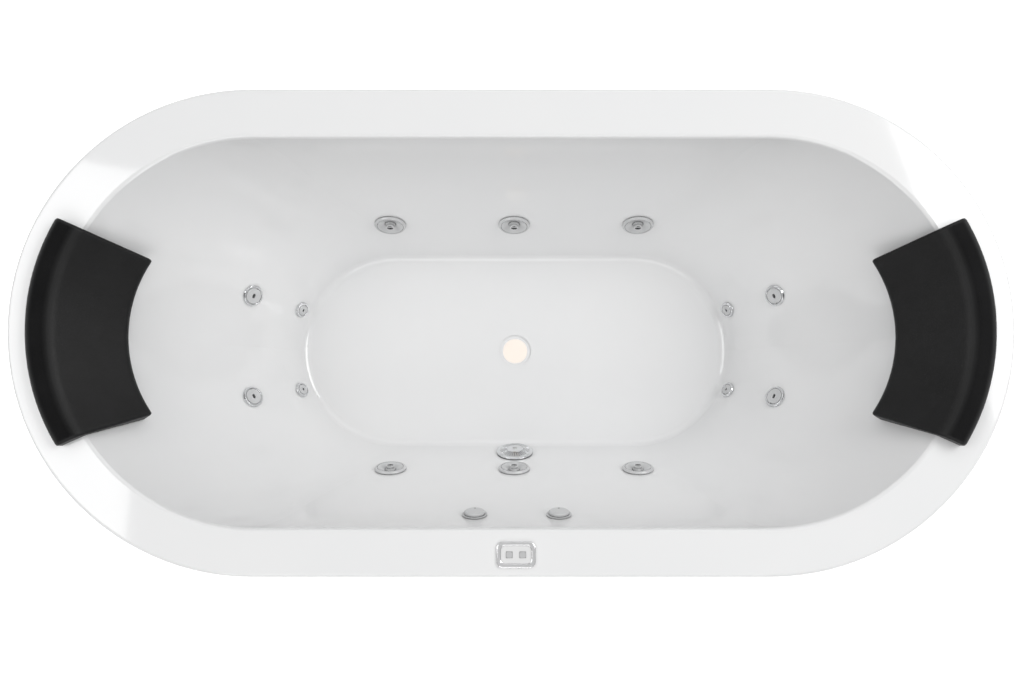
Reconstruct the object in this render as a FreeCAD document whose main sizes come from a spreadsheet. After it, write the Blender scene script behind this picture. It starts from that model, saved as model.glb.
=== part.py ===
import FreeCAD, Part
import math
import os
import re
import Sketcher

Vector = FreeCAD.Vector
Rotation = FreeCAD.Rotation
Placement = FreeCAD.Placement

# Double-ended oval whirlpool bath. Origin on the floor under its middle, +Z up,
# +X along its length, -Y the side with the keypad and the air controls.
SIZES = {
    # tub outline, seen from above: a straight side between two half circles
    "tub_length": 1800, "tub_width": 872, "rim_height": 560,
    "rim_width": 88, "well_depth": 430,
    # sections of the well: how deep below the rim, and how far in from the tub's ends and sides
    "shoulder_depth": 150, "shoulder_end": 202, "shoulder_side": 125.5,
    "lumbar_depth": 300, "lumbar_end": 341, "lumbar_side": 178,
    "heel_depth": 375, "heel_end": 408, "heel_side": 206.5,
    "floor_end": 440, "floor_side": 233,
    "acrylic_wall": 5, "laminate_wall": 4, "bond_gap": 0.3,
    "lip_height": 35, "rim_rounding": 7, "opening_rounding": 8, "floor_rounding": 20,
    "drain_radius": 26.5, "recess_radius": 35, "recess_depth": 3.5, "sump_wall": 4,
    # running and fitting clearances
    "clearance": 0.3, "front_gap": 0.8, "hole_clearance": 0.5, "seat_clearance": 0.6,
    # what every wall fitting shares
    "gasket_height": 1.2, "nut_height": 9, "nut_margin": 6.5, "nut_pad": 2,
    "housing_wall": 1.8, "sleeve_wall": 1.7, "flange_plate": 1.8, "flange_height": 4.8,
    # swivel jets along the sides
    "side_jet_spacing": 257, "side_jet_depth": 310,
    "side_flange_radius": 32.5, "side_barrel_radius": 24, "side_dish_radius": 26.6,
    "side_port_depth": 50, "side_barrel_depth": 62, "side_air_depth": 31, "side_air_rise": 15,
    "face_skirt_depth": 14, "ball_radius": 12, "ball_centre_depth": 5,
    "dish_edge_depth": 0.5, "dish_throat": 11.2, "spout_radius": 8.5, "spout_bore": 6.5,
    "spout_length": 14, "spout_web": 2.6, "bleed_radius": 1.6, "bleed_spread": 9.5,
    "bleed_drop": 16, "bleed_depth": 3,
    # rotating jets on the back rests
    "back_jet_offset": 105, "back_jet_depth": 297,
    "back_flange_radius": 22, "back_barrel_radius": 15.5, "back_dish_radius": 16.4,
    "back_port_depth": 42, "back_barrel_depth": 54, "back_outlet": 4.6, "back_notch": 1.5,
    # small jets at the foot of the back rests
    "mini_jet_offset": 87, "mini_jet_depth": 395,
    "mini_flange_radius": 16.5, "mini_barrel_radius": 11, "mini_dish_radius": 11.4,
    "mini_port_depth": 31, "mini_barrel_depth": 40, "mini_outlet": 2.8,
    # suction return
    "suction_depth": 392, "suction_flange_radius": 38.5, "suction_barrel_radius": 26,
    "suction_port_depth": 52, "suction_port_radius": 24, "suction_barrel_depth": 74,
    "suction_pipe_radius": 20, "suction_pipe_bore": 17.6, "suction_socket": 16,
    "cover_rise": 8, "cover_wall": 2.4, "cover_slot": 1.6, "cover_slots": 36,
    "cover_slot_inner": 17, "cover_slot_outer": 32, "cover_screw_radius": 4.5,
    # air controls
    "air_control_spread": 157, "air_control_shift": 9, "air_control_depth": 85,
    "air_flange_radius": 23.5, "air_barrel_radius": 14, "air_knob_radius": 19,
    "air_knob_height": 6, "air_barrel_depth": 42, "air_port_depth": 29,
    "air_dot_radius": 1.8, "air_dot_drop": 13, "air_dot_depth": 1,
    # pipes
    "port_radius": 16, "port_reach": 40, "back_port_reach": 32, "pipe_radius": 12.5,
    "pipe_bore": 10.6, "socket_depth": 14,
    "air_port_radius": 7, "air_port_reach": 36, "air_pipe_radius": 4.5,
    "air_socket_depth": 9, "hose_port_radius": 8, "hose_radius": 5.5, "pipe_bend": 30,
    "hose_port_reach": 27, "mini_hose_reach": 22, "mini_hose_leg": 22, "air_hose_reach": 24,
    # keypad on the front deck
    "keypad_shift": 9, "keypad_inset": 41, "keypad_length": 70, "keypad_width": 48,
    "keypad_corner": 12, "bezel_band": 8, "bezel_height": 4, "panel_height": 2.4,
    "button_size": 11, "button_corner": 2.6, "button_spacing": 24, "button_height": 2.6,
    "button_travel": 0.8, "keypad_box_depth": 26, "keypad_box_margin": 9.5,
    # head rests
    "pillow_outer": 394, "pillow_ridge": 350, "pillow_height": 29, "pillow_sweep": 84,
    "pillow_end_offset": 52.6, "pillow_end_angle": 24,
    "pillow_shoulder": 8, "pillow_face_radius": 245, "pillow_face_drop": 86,
    "pillow_foot_radius": 276, "pillow_foot_drop": 109, "pillow_ridge_rounding": 34,
    "pillow_toe_rounding": 10, "pillow_rounding": 5,
    # cradle under the tub
    "board_thickness": 18, "board_end": 470, "board_hole": 46,
    "rail_size": 30, "rail_wall": 2, "rail_spread": 310, "rail_end": 135,
    "cross_rail_pitch": 430, "shelf_thickness": 12, "shelf_length": 210, "shelf_width": 370,
    "shelf_end": 240, "foot_end": 400, "foot_radius": 24, "foot_height": 12,
    "stud_radius": 6, "stud_top": 98, "foot_bush_radius": 11, "foot_bush_height": 8,
    # pump
    "pump_end": 210, "pump_axis_height": 78, "pump_shift": -22, "motor_radius": 56,
    "motor_length": 120, "motor_wall": 4, "fin_height": 5, "fin_width": 3, "fin_count": 24,
    "bell_wall": 6, "shaft_radius": 7, "core_radius": 32, "core_length": 70,
    "volute_radius": 54, "volute_width": 46, "volute_wall": 5, "impeller_gap": 4,
    "impeller_radius": 42, "impeller_disc": 4, "vane_height": 20, "vane_width": 3,
    "vane_count": 6, "hub_radius": 12, "outlet_reach": 56, "outlet_offset": 36, "inlet_reach": 22,
    "fan_cover_length": 34, "fan_cover_wall": 2, "fan_radius": 44, "fan_width": 12,
    "fan_gap": 6, "fan_blade_width": 3, "fan_blades": 8, "fan_slot": 4, "fan_slots": 12,
    "fan_slot_inner": 14, "pump_foot_length": 96, "pump_foot_width": 90, "pump_foot_height": 5,
    # control box
    "box_length": 150, "box_width": 190, "box_height": 90, "box_corner": 8,
    "box_lid_height": 4, "gland_radius": 11, "gland_length": 20,
}

doc = FreeCAD.newDocument("jetted_bathtub")
sheet = doc.addObject("Spreadsheet::Sheet", "Sizes")
for row, (alias, size) in enumerate(SIZES.items(), 1):
    sheet.set(f"A{row}", alias)
    sheet.set(f"B{row}", str(size))
    sheet.setAlias(f"B{row}", alias)
doc.recompute()


# A size or a sum of sizes, as text that names the sheet's cells.
def formula(text):
    return re.sub(r"[a-z]\w*", lambda word: "Sizes." + word[0] if word[0] in SIZES else word[0], str(text))


def value(text):
    return float(sheet.evalExpression(formula(text)))


def bind(item, name, text):
    item.setExpression(name, formula(text))


# ---- sketches ----

def originPlane(body, role):
    return next(plane for plane in body.Origin.OriginFeatures if plane.Role == role)


def newBody(label):
    body = doc.addObject("PartDesign::Body", label)
    body.Label = label
    return body


def newSketch(body, name, role="XY_Plane", offset="0"):
    sketch = body.newObject("Sketcher::SketchObject", f"{body.Name}_{name}")
    sketch.AttachmentSupport = [(originPlane(body, role), "")]
    sketch.MapMode = "FlatFace"
    bind(sketch, "AttachmentOffset.Base.z", offset)
    return sketch


def constrain(sketch, kind, arguments, text):
    index = sketch.addConstraint(Sketcher.Constraint(kind, *arguments, value(text)))
    bind(sketch, f"Constraints[{index}]", text)


# A vertex is held on an axis where its coordinate is nought, else by a distance from the origin.
def holdVertex(sketch, line, point, across, up):
    for kind, text, axis in (("DistanceX", across, -2), ("DistanceY", up, -1)):
        if abs(value(text)) < 1e-9:
            sketch.addConstraint(Sketcher.Constraint("PointOnObject", line, point, axis))
        else:
            constrain(sketch, kind, (-1, 1, line, point), text)


def drawOutline(sketch, points):
    first = sketch.GeometryCount
    places = [Vector(value(across), value(up), 0) for across, up in points]
    count = len(points)
    for index in range(count):
        sketch.addGeometry(Part.LineSegment(places[index], places[(index + 1) % count]), False)
    for index in range(count):
        following = first + (index + 1) % count
        sketch.addConstraint(Sketcher.Constraint("Coincident", first + index, 2, following, 1))
    for index, (across, up) in enumerate(points):
        holdVertex(sketch, first + index, 1, across, up)
    return sketch


def drawCircle(sketch, radius, across="0", up="0"):
    index = sketch.GeometryCount
    centre = Vector(value(across), value(up), 0)
    sketch.addGeometry(Part.Circle(centre, Vector(0, 0, 1), value(radius)), False)
    holdVertex(sketch, index, 3, across, up)
    constrain(sketch, "Radius", (index,), radius)
    return sketch


# Two half circles joined by straight sides; each half is drawn as two quarter arcs.
def drawStadium(sketch, length, width):
    radius = f"({width}) / 2"
    centre = f"(({length}) - ({width})) / 2"
    middle = value(centre)
    turn = value(radius)
    first = sketch.GeometryCount
    quarter = math.pi / 2

    def arc(side, start):
        circle = Part.Circle(Vector(side * middle, 0, 0), Vector(0, 0, 1), turn)
        return Part.ArcOfCircle(circle, start, start + quarter)

    def straight(start, end, side):
        return Part.LineSegment(Vector(start, side * turn, 0), Vector(end, side * turn, 0))

    sketch.addGeometry([arc(1, 0), straight(middle, -middle, 1), arc(-1, quarter), arc(-1, 2 * quarter),
                        straight(-middle, middle, -1), arc(1, 3 * quarter)], False)
    for index in range(6):
        following = first + (index + 1) % 6
        sketch.addConstraint(Sketcher.Constraint("Coincident", first + index, 2, following, 1))
    right, top, left, low, last = first, first + 1, first + 2, first + 3, first + 5
    sketch.addConstraint([
        Sketcher.Constraint("Coincident", right, 3, last, 3),
        Sketcher.Constraint("Coincident", left, 3, low, 3),
        Sketcher.Constraint("PointOnObject", right, 3, -1),
        Sketcher.Constraint("Symmetric", right, 3, left, 3, -2),
        Sketcher.Constraint("Vertical", right, 3, right, 2),
        Sketcher.Constraint("Vertical", right, 3, last, 1),
        Sketcher.Constraint("Vertical", left, 3, left, 1),
        Sketcher.Constraint("Vertical", left, 3, low, 2),
        Sketcher.Constraint("PointOnObject", right, 1, -1),
        Sketcher.Constraint("PointOnObject", left, 2, -1),
        Sketcher.Constraint("Horizontal", top)])
    constrain(sketch, "Radius", (right,), radius)
    constrain(sketch, "DistanceX", (-1, 1, right, 3), centre)
    return sketch


def drawRectangle(sketch, length, width, across="0", up="0"):
    left, right = f"({across}) - ({length}) / 2", f"({across}) + ({length}) / 2"
    low, high = f"({up}) - ({width}) / 2", f"({up}) + ({width}) / 2"
    return drawOutline(sketch, [(left, low), (right, low), (right, high), (left, high)])


# ---- features ----

def raised(body, sketch, length, down=False, midplane=False):
    feature = body.newObject("PartDesign::Pad", f"{sketch.Name}_pad")
    feature.Profile = sketch
    bind(feature, "Length", length)
    feature.Reversed = down
    feature.Midplane = midplane
    return feature


def sunk(body, sketch, length, up=False, midplane=False):
    feature = body.newObject("PartDesign::Pocket", f"{sketch.Name}_pocket")
    feature.Profile = sketch
    bind(feature, "Length", length)
    feature.Reversed = up
    feature.Midplane = midplane
    return feature


def revolved(body, sketch, kind="Revolution", axis="V_Axis"):
    feature = body.newObject(f"PartDesign::{kind}", f"{sketch.Name}_turned")
    feature.Profile = sketch
    feature.ReferenceAxis = (sketch, [axis])
    feature.Angle = 360
    return feature


# A body turned about its own Z axis from points given as radius and height.
def turned(label, points):
    body = newBody(label)
    revolved(body, drawOutline(newSketch(body, "section", "XZ_Plane"), points))
    return body


def aroundZ(body, feature, count):
    pattern = body.newObject("PartDesign::PolarPattern", f"{feature.Name}_around")
    pattern.Originals = [feature]
    pattern.Axis = (next(axis for axis in body.Origin.OriginFeatures if axis.Role == "Z_Axis"), [""])
    pattern.Angle = 360
    bind(pattern, "Occurrences", count)
    body.Tip = pattern
    return pattern


# Rounds the edges that a test picks on the feature before it.
def rounded(body, before, radius, picks):
    doc.recompute()
    names = [f"Edge{index}" for index, edge in enumerate(before.Shape.Edges, 1) if picks(edge)]
    feature = body.newObject("PartDesign::Fillet", f"{before.Name}_rounded")
    feature.Base = (before, names)
    bind(feature, "Radius", radius)
    return feature


def isFlatAt(height):
    def test(edge):
        box = edge.BoundBox
        return abs(box.ZMin - height) < 1e-3 and abs(box.ZMax - height) < 1e-3
    return test


# True for the edges of the tub's outline, or of one drawn in from it, at one height.
def isOutline(height, inset):
    centre = value("tub_length - tub_width") / 2
    radius = value(f"tub_width / 2 - ({inset})")

    def test(edge):
        reaches = [math.hypot(max(abs(end.X) - centre, 0), end.Y) for end in edge.Vertexes]
        return isFlatAt(height)(edge) and all(abs(reach - radius) < 0.01 for reach in reaches)
    return test


# ---- assembly ----

nodes = []


def node(item, label):
    item.Label = label
    nodes.append(item)
    return item


def placed(source, placement, label):
    link = doc.addObject("App::Link", label)
    link.LinkedObject = source
    link.Placement = placement
    link.Label = label
    return link


# Links to one modelled piece, one at each place.
def copies(source, placements, label):
    return [placed(source, placement, f"{label}_{index}") for index, placement in enumerate(placements, 1)]


def together(links, label):
    group = doc.addObject("Part::Compound", label)
    group.Links = links
    return group


def cut(base, tool, label):
    item = doc.addObject("Part::Cut", label)
    item.Base = base
    item.Tool = tool
    return item


def fuse(items, label):
    item = doc.addObject("Part::MultiFuse", label)
    item.Shapes = items
    return item


def solidOf(kind, label, place=None, **lengths):
    item = doc.addObject(f"Part::{kind}", label)
    for name, text in lengths.items():
        bind(item, name, text)
    if place:
        item.Placement = place
    return item


# ---- tub ----

# The well's form, grown all round by a margin: stadium sections joined by a smooth loft.
def wellLoft(body, kind, margin, top="rim_height"):
    stations = [("mouth", top, "rim_width", "rim_width")]
    stations += [(name, f"rim_height - {name}_depth", f"{name}_end", f"{name}_side")
                 for name in ("shoulder", "lumbar", "heel")]
    stations.append(("floor", f"rim_height - well_depth - ({margin})", "floor_end", "floor_side"))
    sections = [drawStadium(newSketch(body, name, "XY_Plane", height),
                            f"tub_length - 2 * ({end}) + 2 * ({margin})",
                            f"tub_width - 2 * ({side}) + 2 * ({margin})")
                for name, height, end, side in stations]
    loft = body.newObject(f"PartDesign::{kind}Loft", f"{body.Name}_well")
    loft.Profile = sections[0]
    loft.Sections = sections[1:]
    loft.Ruled = False
    return loft


def tubMoulding():
    body = newBody("tub_moulding")
    outside = wellLoft(body, "Additive", "acrylic_wall")
    rounded(body, outside, "floor_rounding + acrylic_wall",
            isFlatAt(value("rim_height - well_depth - acrylic_wall")))
    deck = drawStadium(newSketch(body, "deck", "XY_Plane", "rim_height"), "tub_length", "tub_width")
    raised(body, deck, "acrylic_wall", down=True)
    lip = newSketch(body, "lip", "XY_Plane", "rim_height")
    drawStadium(lip, "tub_length", "tub_width")
    drawStadium(lip, "tub_length - 2 * acrylic_wall", "tub_width - 2 * acrylic_wall")
    raised(body, lip, "lip_height", down=True)
    sump = newSketch(body, "sump", "XY_Plane", "rim_height - well_depth")
    raised(body, drawCircle(sump, "recess_radius + sump_wall"), "recess_depth + acrylic_wall", down=True)
    hollow = wellLoft(body, "Subtractive", "0")
    hollow = rounded(body, hollow, "floor_rounding", isFlatAt(value("rim_height - well_depth")))
    top = value("rim_height")
    hollow = rounded(body, hollow, "opening_rounding", isOutline(top, "rim_width"))
    rounded(body, hollow, "rim_rounding", isOutline(top, "0"))
    recess = drawCircle(newSketch(body, "recess", "XY_Plane", "rim_height - well_depth"), "recess_radius")
    sunk(body, recess, "recess_depth")
    drain = drawCircle(newSketch(body, "drain", "XY_Plane", "rim_height - well_depth"), "drain_radius")
    sunk(body, drain, "recess_depth + 2 * acrylic_wall")
    return body


moulding = tubMoulding()
well = newBody("well_form")
wellLoft(well, "Additive", "0")
doc.recompute()


# ---- places on the well's wall ----

# +Z out of the wall into the bath, +Y up the slope, +X level along the wall.
def wallFrame(start, direction):
    ray = Part.makeLine(start, start + direction * value("tub_length"))
    inside = ray.common(well.Shape)
    point = max((end.Point for end in inside.Vertexes), key=lambda end: end.dot(direction))
    face = min(well.Shape.Faces, key=lambda face: face.distToShape(Part.Vertex(point))[0])
    across, along = face.Surface.parameter(point)
    inward = face.normalAt(across, along) * -1
    level = Vector(0, 0, 1).cross(inward).normalize()
    return Placement(point, Rotation(level, inward.cross(level), inward, "ZXY"))


def levelAt(depth):
    return value("rim_height") - value(depth)


def sideFrame(along, depth, side):
    return wallFrame(Vector(along, 0, levelAt(depth)), Vector(0, side, 0))


def endFrames(offset, depth):
    return [wallFrame(Vector(0, side * value(offset), levelAt(depth)), Vector(end, 0, 0))
            for end in (-1, 1) for side in (1, -1)]


sideFrames = [sideFrame(step * value("side_jet_spacing"), "side_jet_depth", side)
              for side in (1, -1) for step in (-1, 0, 1)]
backFrames = endFrames("back_jet_offset", "back_jet_depth")
miniFrames = endFrames("mini_jet_offset", "mini_jet_depth")
suctionFrame = sideFrame(0, "suction_depth", -1)
airFrames = [sideFrame(value("air_control_shift") + step * value("air_control_spread") / 2,
                       "air_control_depth", -1) for step in (-1, 1)]
FAMILIES = {"side": sideFrames, "back": backFrames, "mini": miniFrames,
            "suction": [suctionFrame], "air": airFrames}
WALL_STACK = "acrylic_wall + bond_gap + laminate_wall + nut_pad"


# ---- holes and seats in the wall ----

# Bore of a fitting, and the flat seat that its flange beds on.
def wallCutter(family):
    bore = f"{family}_barrel_radius + hole_clearance"
    seat = f"{family}_flange_radius + seat_clearance"
    behind, before = "-3 * nut_height", "3 * flange_height"
    return turned(f"{family}_cutter", [("0", behind), (bore, behind), (bore, "0"), (seat, "0"),
                                       (seat, before), ("0", before)])


def allCutters():
    links = []
    for family, frames in FAMILIES.items():
        links += copies(wallCutter(family), frames, f"{family}_hole")
    return together(links, "wall_holes")


# Flat pad in the laminate for the lock nut behind the wall.
def nutPads():
    links = []
    for family, frames in FAMILIES.items():
        reach = f"{family}_barrel_radius + nut_margin + nut_pad"
        pad = turned(f"{family}_nut_pad", [("0", f"-({WALL_STACK})"), (reach, f"-({WALL_STACK})"),
                                           (reach, "0"), ("0", "0")])
        links += copies(pad, frames, f"{family}_pad")
    return links


def keypadPlace():
    front = -value("tub_width") / 2 + value("keypad_inset")
    return Placement(Vector(value("keypad_shift"), front, value("rim_height")), Rotation())


# Hole of the keypad through the deck, with room for the housing.
def keypadCutter():
    body = newBody("keypad_cutter")
    sketch = newSketch(body, "hole")
    drawRectangle(sketch, "keypad_length - 2 * keypad_box_margin + 2 * hole_clearance",
                  "keypad_width - 2 * keypad_box_margin + 2 * hole_clearance")
    raised(body, sketch, "2 * keypad_box_depth", midplane=True)
    return placed(body, keypadPlace(), "keypad_hole")


wallHoles = fuse([allCutters(), keypadCutter()], "all_holes")
acrylic = node(cut(moulding, wallHoles, "acrylic_shell"), "acrylic_shell")


def laminate():
    layer = "acrylic_wall + bond_gap"
    body = newBody("laminate_layup")
    outside = wellLoft(body, "Additive", f"{layer} + laminate_wall")
    bottom = "rim_height - well_depth - acrylic_wall - bond_gap"
    rounded(body, outside, f"floor_rounding + {layer} + laminate_wall",
            isFlatAt(value(f"{bottom} - laminate_wall")))
    trim = newSketch(body, "trim", "XY_Plane", "rim_height")
    sunk(body, drawStadium(trim, "tub_length", "tub_width"), layer)
    deck = newSketch(body, "deck", "XY_Plane", f"rim_height - ({layer})")
    drawStadium(deck, f"tub_length - 2 * ({layer})", f"tub_width - 2 * ({layer})")
    raised(body, deck, "laminate_wall", down=True)
    envelope = newBody("moulding_envelope")
    inside = wellLoft(envelope, "Additive", layer)
    rounded(envelope, inside, f"floor_rounding + {layer}", isFlatAt(value(bottom)))
    sump = newSketch(envelope, "sump", "XY_Plane", "rim_height - well_depth")
    drawCircle(sump, "recess_radius + sump_wall + clearance")
    raised(envelope, sump, "3 * acrylic_wall", down=True)
    blank = fuse([body] + nutPads(), "laminate_blank")
    hollow = cut(blank, envelope, "laminate_hollow")
    return cut(hollow, wallHoles, "fibreglass_backing")


node(laminate(), "fibreglass_backing")


# ---- wall fittings: each modelled once, its wall plane at Z = 0 and the bath on the +Z side ----

def gasket(family):
    inner, outer = f"{family}_barrel_radius + 2 * hole_clearance", f"{family}_flange_radius - 1.5"
    return turned(f"{family}_gasket", [(inner, "0"), (outer, "0"), (outer, "gasket_height"),
                                       (inner, "gasket_height")])


def lockNut(family):
    body = newBody(f"{family}_nut")
    sketch = newSketch(body, "ring", "XY_Plane", f"-({WALL_STACK})")
    reach = f"({family}_barrel_radius + nut_margin)"
    turns = [math.radians(45 * step) for step in range(8)]
    drawOutline(sketch, [(f"{reach} * {math.cos(turn):.6f}", f"{reach} * {math.sin(turn):.6f}")
                         for turn in turns])
    drawCircle(sketch, f"{family}_barrel_radius + clearance")
    raised(body, sketch, "nut_height", down=True)
    return body


# Threaded flange: a plate on the gasket, a recess for the moving front, a sleeve into the housing.
def flange(family, sleeve):
    outer = f"{family}_barrel_radius - housing_wall - clearance"
    inner = f"{outer} - sleeve_wall"
    plate, crest = "gasket_height + flange_plate", "gasket_height + flange_height"
    recess = f"{family}_dish_radius + front_gap"
    return turned(f"{family}_flange", [
        (inner, f"-({sleeve})"), (outer, f"-({sleeve})"), (outer, "gasket_height"),
        (f"{family}_flange_radius", "gasket_height"), (f"{family}_flange_radius", plate),
        (f"{family}_flange_radius - flange_plate", crest), (recess, crest), (recess, plate),
        (inner, plate)])


# A branch is a socketed pipe end: its axis stands on one of the body's planes.
def branch(name, role, across, up, reach, pipe, sign):
    return {"name": name, "role": role, "across": across, "up": up, "reach": reach, "sign": sign,
            **pipe}


WATER = {"radius": "port_radius", "socket": "pipe_radius", "depth": "socket_depth"}
AIR = {"radius": "air_port_radius", "socket": "air_pipe_radius", "depth": "air_socket_depth"}
HOSE = {"radius": "hose_port_radius", "socket": "hose_radius", "depth": "air_socket_depth"}
RETURN = {"radius": "suction_port_radius", "socket": "suction_pipe_radius", "depth": "suction_socket"}


def addBranches(body, branches):
    for each in branches:
        sketch = newSketch(body, f"{each['name']}_wall", each["role"])
        drawCircle(sketch, each["radius"], each["across"], each["up"])
        raised(body, sketch, each["reach"], down=each["sign"] < 0)


def addSockets(body, branches):
    for each in branches:
        mouth = f"({each['reach']}) * {each['sign']}"
        socket = newSketch(body, f"{each['name']}_socket", each["role"], mouth)
        drawCircle(socket, f"{each['socket']} + clearance", each["across"], each["up"])
        sunk(body, socket, each["depth"], up=each["sign"] < 0)


# Housing behind the wall: a closed barrel with its branches, open towards the bath.
def housing(family, branches):
    barrel, depth = f"{family}_barrel_radius", f"{family}_barrel_depth"
    body = turned(f"{family}_barrel", [("0", "0"), (barrel, "0"), (barrel, f"3 - {depth}"),
                                        (f"{barrel} - 3", f"-{depth}"), ("0", f"-{depth}")])
    addBranches(body, branches)
    chamber = drawCircle(newSketch(body, "chamber"), f"{barrel} - housing_wall")
    sunk(body, chamber, f"{depth} - 4")
    addSockets(body, branches)
    return body


def inLine(name, across, up, reach, pipe):
    return [branch(f"{name}_a", "YZ_Plane", across, up, reach, pipe, 1),
            branch(f"{name}_b", "YZ_Plane", across, up, reach, pipe, -1)]


def sideHousing():
    return housing("side", inLine("water", "0", "-side_port_depth", "port_reach", WATER)
                   + inLine("air", "side_air_rise", "-side_air_depth", "air_port_reach", AIR))


def backHousing():
    return housing("back", inLine("water", "0", "-back_port_depth", "back_port_reach", WATER)
                   + [branch("hose", "XZ_Plane", "0", "-back_port_depth", "hose_port_reach", HOSE, 1)])


def miniHousing():
    return housing("mini", [branch("hose", "XZ_Plane", "0", "-mini_port_depth", "mini_hose_reach",
                                   HOSE, -1)])


# Dished front of a side jet, with the ball's seat in its middle and two bleed holes.
def sideFace():
    skirt = "side_barrel_radius - housing_wall - 2 * clearance - sleeve_wall"
    rest = "gasket_height + flange_plate + clearance"
    crest = "gasket_height + flange_height"
    bottom = "-face_skirt_depth"
    body = turned("side_face_blank", [
        ("dish_throat - 2", bottom), (skirt, bottom), (skirt, rest), ("side_dish_radius", rest),
        ("side_dish_radius", crest), ("side_dish_radius - 1", crest),
        ("dish_throat", "-dish_edge_depth"), ("dish_throat - 2", "-dish_edge_depth")])
    bleeds = newSketch(body, "bleeds", "XY_Plane", "gasket_height")
    drawCircle(bleeds, "bleed_radius", "bleed_spread", "-bleed_drop")
    drawCircle(bleeds, "bleed_radius", "-bleed_spread", "-bleed_drop")
    sunk(body, bleeds, "bleed_depth")
    centre = Placement(Vector(0, 0, -value("ball_centre_depth")), Rotation())
    seat = solidOf("Sphere", "ball_seat", centre, Radius="ball_radius + clearance")
    return cut(body, seat, "side_face")


# Ball with its spout; a web divides the outlet in two.
def sideNozzle():
    centre = Placement(Vector(0, 0, -value("ball_centre_depth")), Rotation())
    ball = solidOf("Sphere", "ball", centre, Radius="ball_radius")
    spout = solidOf("Cylinder", "spout", centre, Radius="spout_radius", Height="spout_length")
    bore = solidOf("Cylinder", "spout_bore", centre, Radius="spout_bore", Height="spout_length + 1")
    web = solidOf("Box", "spout_web", None, Length="2 * ball_radius", Width="spout_web",
                  Height="spout_length - 1")
    corner = Vector(-value("ball_radius"), -value("spout_web") / 2, -value("ball_centre_depth"))
    web.Placement = Placement(corner, Rotation())
    inlet = solidOf("Cylinder", "ball_inlet", None, Radius="spout_bore", Height="2 * ball_radius")
    inlet.Placement = Placement(centre.Base - Vector(0, 0, 2 * value("ball_radius")), Rotation())
    passages = fuse([cut(bore, web, "divided_bore"), inlet], "nozzle_passages")
    return cut(fuse([ball, spout], "nozzle_blank"), passages, "side_nozzle")


# Turning front of a back or mini jet: a disc with an oval outlet, on a neck in the flange's sleeve.
def turningFront(family):
    neck = f"{family}_barrel_radius - housing_wall - 2 * clearance - sleeve_wall"
    rest, crest = "gasket_height + flange_plate + clearance", "gasket_height + flange_height + 1.2"
    disc = f"{family}_dish_radius"
    body = turned(f"{family}_front", [
        ("0", "-2"), (f"{neck} - 1.6", "-2"), (f"{neck} - 1.6", "-12"), (neck, "-12"), (neck, rest),
        (disc, rest), (disc, f"{crest} - 1.2"), (f"{disc} - 1.6", crest),
        (f"{disc} * 0.62", f"{crest} - 0.8"), ("0", f"{crest} - 0.8")])
    outlet = newSketch(body, "outlet", "XY_Plane", crest)
    sunk(body, drawStadium(outlet, f"2.1 * {family}_outlet", f"1.3 * {family}_outlet"), "4 * flange_height")
    notch = newSketch(body, "notch", "XY_Plane", crest)
    sunk(body, drawCircle(notch, "back_notch", f"{disc} - 0.2", "0"), "flange_height / 2")
    return body


for label, family, build in (("side_jet_housings", "side", sideHousing),
                             ("back_jet_housings", "back", backHousing),
                             ("mini_jet_housings", "mini", miniHousing)):
    node(together(copies(build(), FAMILIES[family], f"{family}_housing_at"), label), label)

for label, family, sleeve in (("side_jet_flanges", "side", "face_skirt_depth + 2"),
                              ("back_jet_flanges", "back", "14"),
                              ("mini_jet_flanges", "mini", "14")):
    node(together(copies(flange(family, sleeve), FAMILIES[family], f"{family}_flange_at"), label), label)

gaskets = []
nuts = []
for family, frames in FAMILIES.items():
    gaskets += copies(gasket(family), frames, f"{family}_gasket_at")
    nuts += copies(lockNut(family), frames, f"{family}_nut_at")
node(together(gaskets, "jet_gaskets"), "jet_gaskets")
node(together(nuts, "lock_nuts"), "lock_nuts")

for label, source, frames in (("side_jet_face", sideFace(), sideFrames),
                              ("side_jet_nozzle", sideNozzle(), sideFrames),
                              ("back_jet_nozzle", turningFront("back"), backFrames),
                              ("mini_jet_nozzle", turningFront("mini"), miniFrames)):
    for link in copies(source, frames, label):
        node(link, link.Label)


# ---- suction return ----

def suctionHousing():
    body = housing("suction", [branch("return", "YZ_Plane", "0", "-suction_port_depth",
                                      "suction_barrel_radius + suction_socket", RETURN, -1)])
    rim = newSketch(body, "rim", "XY_Plane", "gasket_height")
    drawCircle(rim, "suction_flange_radius")
    drawCircle(rim, "suction_barrel_radius - housing_wall")
    raised(body, rim, "flange_plate")
    collar = newSketch(body, "collar", "XY_Plane", "gasket_height")
    drawCircle(collar, "suction_barrel_radius")
    drawCircle(collar, "suction_barrel_radius - housing_wall")
    raised(body, collar, "gasket_height", down=True)
    bridge = newSketch(body, "bridge", "XY_Plane", "gasket_height + flange_plate")
    drawRectangle(bridge, "2 * suction_barrel_radius", "3 * cover_screw_radius")
    raised(body, bridge, "2 * gasket_height", down=True)
    hole = newSketch(body, "screw_hole", "XY_Plane", "gasket_height + flange_plate")
    sunk(body, drawCircle(hole, "cover_screw_radius / 2 + clearance"), "4 * gasket_height")
    return body


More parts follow.
